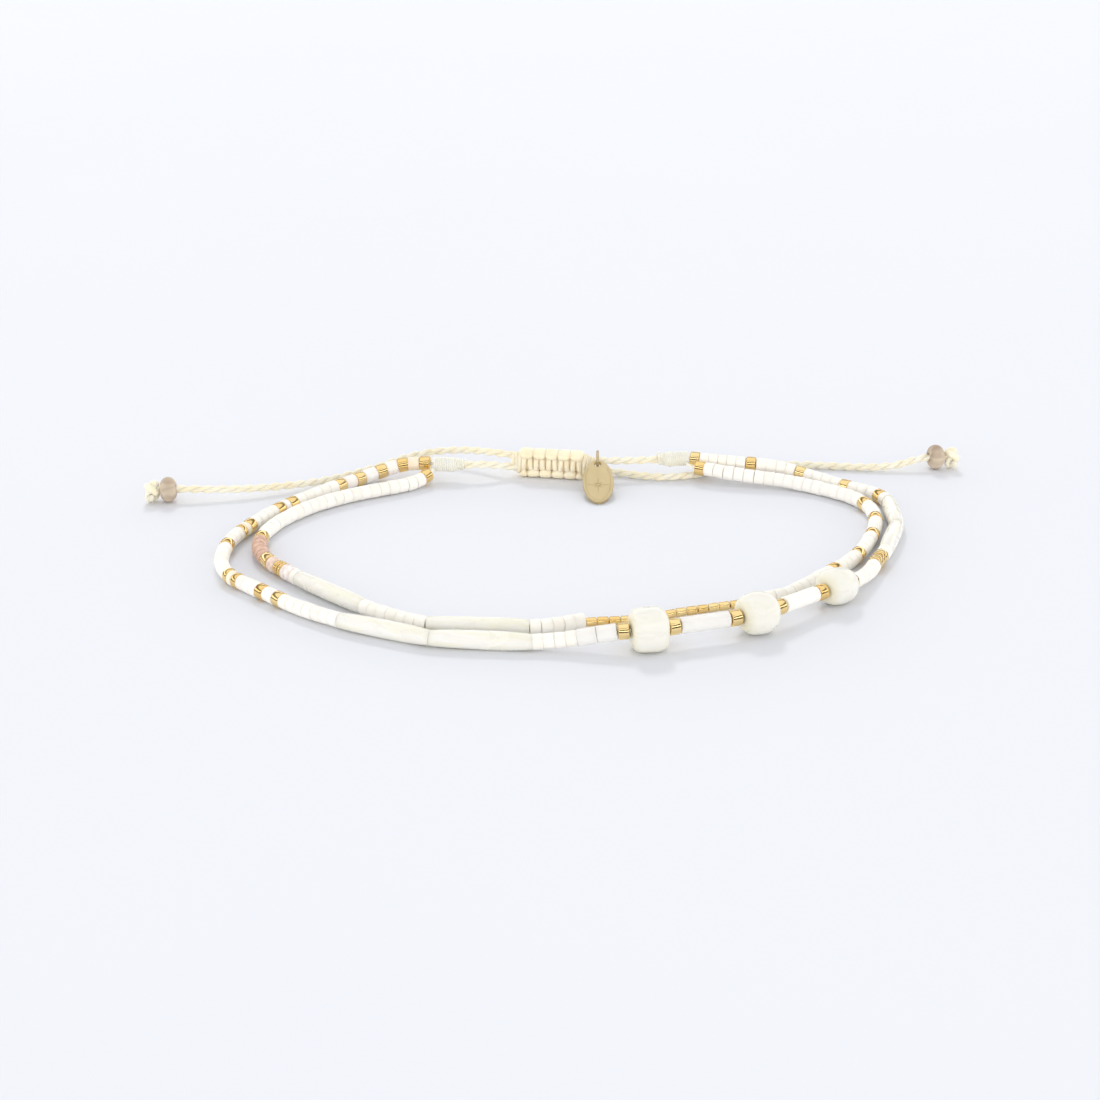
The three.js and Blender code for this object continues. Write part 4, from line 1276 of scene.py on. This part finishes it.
# %% Milky glass and the tubes
def milky_glass():
    glass = Finish("milky_glass")
    glass.set(Transmission_Weight=0.06, IOR=1.5, Coat_Weight=0.4, Coat_Roughness=0.08)
    glass.set(Subsurface_Weight=0.35, Subsurface_Scale=0.002, Subsurface_Radius=(1.0, 0.95, 0.95))
    haze = glass.noise(500.0, detail=3.0, stretch=(0.4, 1.0, 1.0))
    glass.colour(glass.ramp(haze, (0.35, (0.905, 0.86, 0.81)), (0.6, (0.935, 0.91, 0.86))))
    glass.roughness(glass.spread(haze, 0.1, 0.24))
    return glass.material


MILKY = milky_glass()
TUBE_EDGE = 0.18


def single(name, title, finish, length, diameter):
    spots = [spot(centre_of(name), chord(name, length * MM))]
    piece = string_beads(title, spots, finish, length, diameter, edge=TUBE_EDGE, uneven=0.0)
    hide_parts(name)


single("front_clear_1", "clear_bead_1", MILKY, 2.5, 2.2)
single("front_clear_2", "clear_bead_2", MILKY, 2.5, 2.2)
single("front_tube_6", "clear_tube", MILKY, 6.5, 2.1)
single("front_white_tube_10", "white_tube", WHITE, 6.1, 2.05)

# %% [markdown]
# Ring and tag
# A small ring hangs on the cord, and an oval tag of satin champagne gold hangs from it and leans on
# the table. The tag is a flat blank with a drilled hole and a broken edge. Its face carries a fine
# raised line that follows the rim and a small plain star, both kept low.


# %% Satin champagne gold
def satin_gold():
    gold = Finish("satin_gold")
    gold.set(Metallic=1.0)
    brushed = gold.noise(900.0, detail=4.0, stretch=(1.0, 0.12, 1.0))
    gold.colour(gold.ramp(brushed, (0.3, (0.63, 0.505, 0.285)), (0.7, (0.70, 0.57, 0.335))))
    gold.roughness(gold.spread(brushed, 0.26, 0.4))
    gold.bump(brushed, 0.00001, strength=0.7)
    return gold.material


SATIN = satin_gold()

# %% Jump ring
ring_low, ring_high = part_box("jump_ring")
ring_middle = centre_of("jump_ring")
wire = (ring_high[0] - ring_low[0]) / 2
ring_radius = (ring_high[2] - ring_low[2]) / 2 - wire
print(f"ring of {2 * ring_radius / MM:.2f} mm, wire {2 * wire / MM:.2f} mm")
turn = np.linspace(0, 2 * math.pi, 57)
ring_line = ring_middle + ring_radius * np.stack([0 * turn, np.sin(turn), np.cos(turn)], axis=1)
ring = Skin()
ring.tube(ring_line[:-1], wire, sides=14)
ring_piece = ring.piece("fine_jump_ring", SATIN)
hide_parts("jump_ring")


# %% Oval blank
TAG = {"length": 9.7, "width": 4.5, "thickness": 0.5, "hole": 1.0, "rim": 0.45, "edge": 0.07}
HOLE_DROP = TAG["rim"] + TAG["hole"] / 2
RIM_POINTS = 72


def oval(wide, long, count, shift=0.0):
    """Points of an oval with these half widths in millimetres, shifted along its length."""
    angle = np.linspace(0, 2 * math.pi, count, endpoint=False)
    return np.stack([wide * np.cos(angle), shift + long * np.sin(angle)], axis=1)


def tag_blank():
    """The flat drilled blank with a broken edge, as one sealed mesh round its own middle."""
    blank = bpy.data.curves.new("tag_outline", "CURVE")
    blank.dimensions = "2D"
    blank.fill_mode = "BOTH"
    blank.extrude = (TAG["thickness"] / 2 - TAG["edge"]) * MM
    blank.bevel_depth = TAG["edge"] * MM
    blank.bevel_resolution = 2
    blank.offset = -TAG["edge"] * MM
    rim = oval(TAG["width"] / 2, TAG["length"] / 2, RIM_POINTS)
    hole = oval(TAG["hole"] / 2, TAG["hole"] / 2, 28, TAG["length"] / 2 - HOLE_DROP)[::-1]
    for outline in (rim, hole):
        spline = blank.splines.new("POLY")
        spline.points.add(len(outline) - 1)
        for point, (x, y) in zip(spline.points, outline):
            point.co = (x * MM, y * MM, 0, 1)
        spline.use_cyclic_u = True
    shape = bpy.data.objects.new("tag_shape", blank)
    bpy.context.scene.collection.objects.link(shape)
    mesh = bpy.data.meshes.new_from_object(shape.evaluated_get(bpy.context.evaluated_depsgraph_get()))
    bpy.data.objects.remove(shape)
    sealed = bmesh.new()
    sealed.from_mesh(mesh)
    bmesh.ops.remove_doubles(sealed, verts=sealed.verts, dist=0.002 * MM)
    bmesh.ops.recalc_face_normals(sealed, faces=sealed.faces)
    sealed.to_mesh(mesh)
    sealed.free()
    mesh.materials.clear()
    mesh.materials.append(SATIN)
    return mesh


# %% Raised line and star
RELIEF = {"inset": 0.42, "line": 0.06, "flatten": 0.6, "star_drop": -0.9}
STAR_RAYS = {"count": 8, "start": 0.28, "long": 1.5, "short": 0.9, "root": 0.11, "tip": 0.04}


def tag_relief():
    """A fine line that follows the rim below the hole, and a small plain star."""
    relief = Skin()
    face = TAG["thickness"] / 2 * MM
    rim = oval(TAG["width"] / 2 - RELIEF["inset"], TAG["length"] / 2 - RELIEF["inset"], RIM_POINTS)
    below_hole = TAG["length"] / 2 - 2 * TAG["rim"] - TAG["hole"]
    line = np.array([(x * MM, y * MM, face) for x, y in rim if y < below_hole])
    order = sorted(range(len(line)), key=lambda i: math.atan2(line[i, 0], -line[i, 1]))
    relief.tube(line[order], RELIEF["line"] * MM, sides=8, flatten=RELIEF["flatten"])
    star = np.array((0, RELIEF["star_drop"] * MM, face))
    thickness = np.linspace(STAR_RAYS["root"], STAR_RAYS["tip"], 6) * MM
    for i in range(STAR_RAYS["count"]):
        a = 2 * math.pi * i / STAR_RAYS["count"]
        reach = STAR_RAYS["long"] if i % 2 == 0 else STAR_RAYS["short"]
        way = np.array((math.cos(a), math.sin(a), 0))
        ray = np.array([star + way * share * MM for share in np.linspace(STAR_RAYS["start"], reach, 6)])
        relief.tube(ray, thickness, sides=8, flatten=RELIEF["flatten"])
    return relief.piece("tag_relief", SATIN)


# %% Hang the tag on its ring
blank = tag_blank()
raised = tag_relief()
hang_length = (TAG["length"] - HOLE_DROP) * MM
lean = math.asin((ring_middle[2] - TAG["thickness"] / 2 * MM) / hang_length)
hang = Vector(ring_middle) + Vector((0, -ring_radius, 0))
shift = Matrix.Translation((0, (HOLE_DROP - TAG["length"] / 2) * MM, 0))
hung = Matrix.Translation(hang) @ Matrix.Rotation(lean, 4, "X") @ shift
blank.transform(hung)
raised.data.transform(hung)
plate = dress("tag_plate", blank)
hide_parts("tag")
print(f"the tag leans {math.degrees(lean):.1f} degrees from the table")

# %% [markdown]
# Table and light
# The photograph is a product shot in a light tent: a pale, faintly blue table that runs out of the
# picture, and light from all sides. The world gives the tent. Its sky is brightest near the horizon,
# which keeps the fronts of the beads bright. Polished metal mirrors light and dark bands instead, and
# they draw the thin dark lines on every gold bead. One large lamp, high up behind, adds the shadows.

# %% Table
REACH = 2.0
floor_mesh = bpy.data.meshes.new("table")
floor_corners = [(-REACH, -REACH, 0), (REACH, -REACH, 0), (REACH, REACH, 0), (-REACH, REACH, 0)]
floor_mesh.from_pydata(floor_corners, [], [(0, 1, 2, 3)])
table_top = bpy.data.objects.new("table", floor_mesh)
bpy.context.scene.collection.objects.link(table_top)
surface = Finish("table_top")
surface.set(Roughness=0.75)
mottle = surface.noise(6.0, detail=2.0)
surface.colour(surface.ramp(mottle, (0.3, (0.745, 0.76, 0.81)), (0.7, (0.755, 0.77, 0.815))))
floor_mesh.materials.append(surface.material)
table_top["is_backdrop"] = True
print(f"table {2 * REACH:.0f} m wide")


# %% Light tent
def grey(level):
    return (level, level, level)


SHADE = (0.2, 0.18, 0.16)
DARK = (0.04, 0.03, 0.02)
DUSK = (0.05, 0.04, 0.03)
WARM = (0.6, 0.55, 0.5)
HIGH = (0.74, 0.75, 0.76)
SKY = [(0.0, (2.3, 2.26, 2.2)), (0.2, (2.2, 2.16, 2.1)), (0.42, (1.2, 1.19, 1.18)), (0.62, HIGH), (1.0, HIGH)]
FRONT_BANDS = [
    (0.0, (0.3, 0.28, 0.26)), (0.12, DARK), (0.30, DARK), (0.34, grey(2.2)), (0.46, grey(2.2)), (0.50, DUSK),
    (0.66, DUSK), (0.72, grey(1.2)), (0.84, grey(1.0)), (0.88, WARM), (0.93, WARM), (0.97, grey(1.0)),
]
WALL_BANDS = [
    (0.0, (0.1, 0.09, 0.08)), (0.16, SHADE), (0.24, grey(1.5)), (0.40, grey(1.3)), (0.46, SHADE),
    (0.58, SHADE), (0.68, grey(1.0)), (1.0, grey(1.05)),
]
TENT_STRENGTH = 1.07
FRONT_STARTS, FRONT_FULL = -0.2, -0.35


def light_tent():
    """A world that lights by its sky and shows its bands only in mirrors."""
    world = bpy.data.worlds.new("light_tent")
    bpy.context.scene.world = world
    world.use_nodes = True
    tree = world.node_tree
    place = tree.nodes.new("ShaderNodeTexCoord")
    split = tree.nodes.new("ShaderNodeSeparateXYZ")
    tree.links.new(place.outputs["Generated"], split.inputs[0])
    height = split.outputs["Z"]
    front = tree.nodes.new("ShaderNodeMapRange")
    front.inputs["From Min"].default_value = FRONT_STARTS
    front.inputs["From Max"].default_value = FRONT_FULL
    tree.links.new(split.outputs["Y"], front.inputs["Value"])
    walls = ramp(tree, height, WALL_BANDS)
    bands = mix(tree, front.outputs["Result"], walls, ramp(tree, height, FRONT_BANDS))
    ray = tree.nodes.new("ShaderNodeLightPath")
    light = mix(tree, ray.outputs["Is Glossy Ray"], ramp(tree, height, SKY), bands)
    background = tree.nodes["Background"]
    tree.links.new(light, background.inputs["Color"])
    background.inputs["Strength"].default_value = TENT_STRENGTH
    print("light tent:", len(tree.nodes), "nodes")


light_tent()

# %% Lamp and tones
LAMP = {"energy": 32.0, "size": 0.6, "place": (-0.3, 2.6, 2.4)}
lamp_data = bpy.data.lights.new("overhead", "AREA")
lamp_data.energy = LAMP["energy"]
lamp_data.size = LAMP["size"]
lamp = bpy.data.objects.new("overhead", lamp_data)
lamp.location = LAMP["place"]
lamp.rotation_euler = Vector(LAMP["place"]).to_track_quat("Z", "Y").to_euler()
lamp.visible_glossy = False
bpy.context.scene.collection.objects.link(lamp)
bpy.context.scene.view_settings.view_transform = "Standard"
bpy.context.scene.view_settings.look = "None"
print(f"lamp {Vector(LAMP['place']).length:.1f} m away")

# %% [markdown]
# Sizes and the end
# The script prints the size of both boxes: the solids' box and the dressed anklet's box.

# %% Print both boxes
boxes = {
    "cad": [list(map(float, corner)) for corner in CAD_BOX],
    "visual": [list(map(float, corner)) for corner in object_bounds()],
}
for label, (low, high) in boxes.items():
    print(label, [f"{(b - a) / MM:.1f}" for a, b in zip(low, high)])
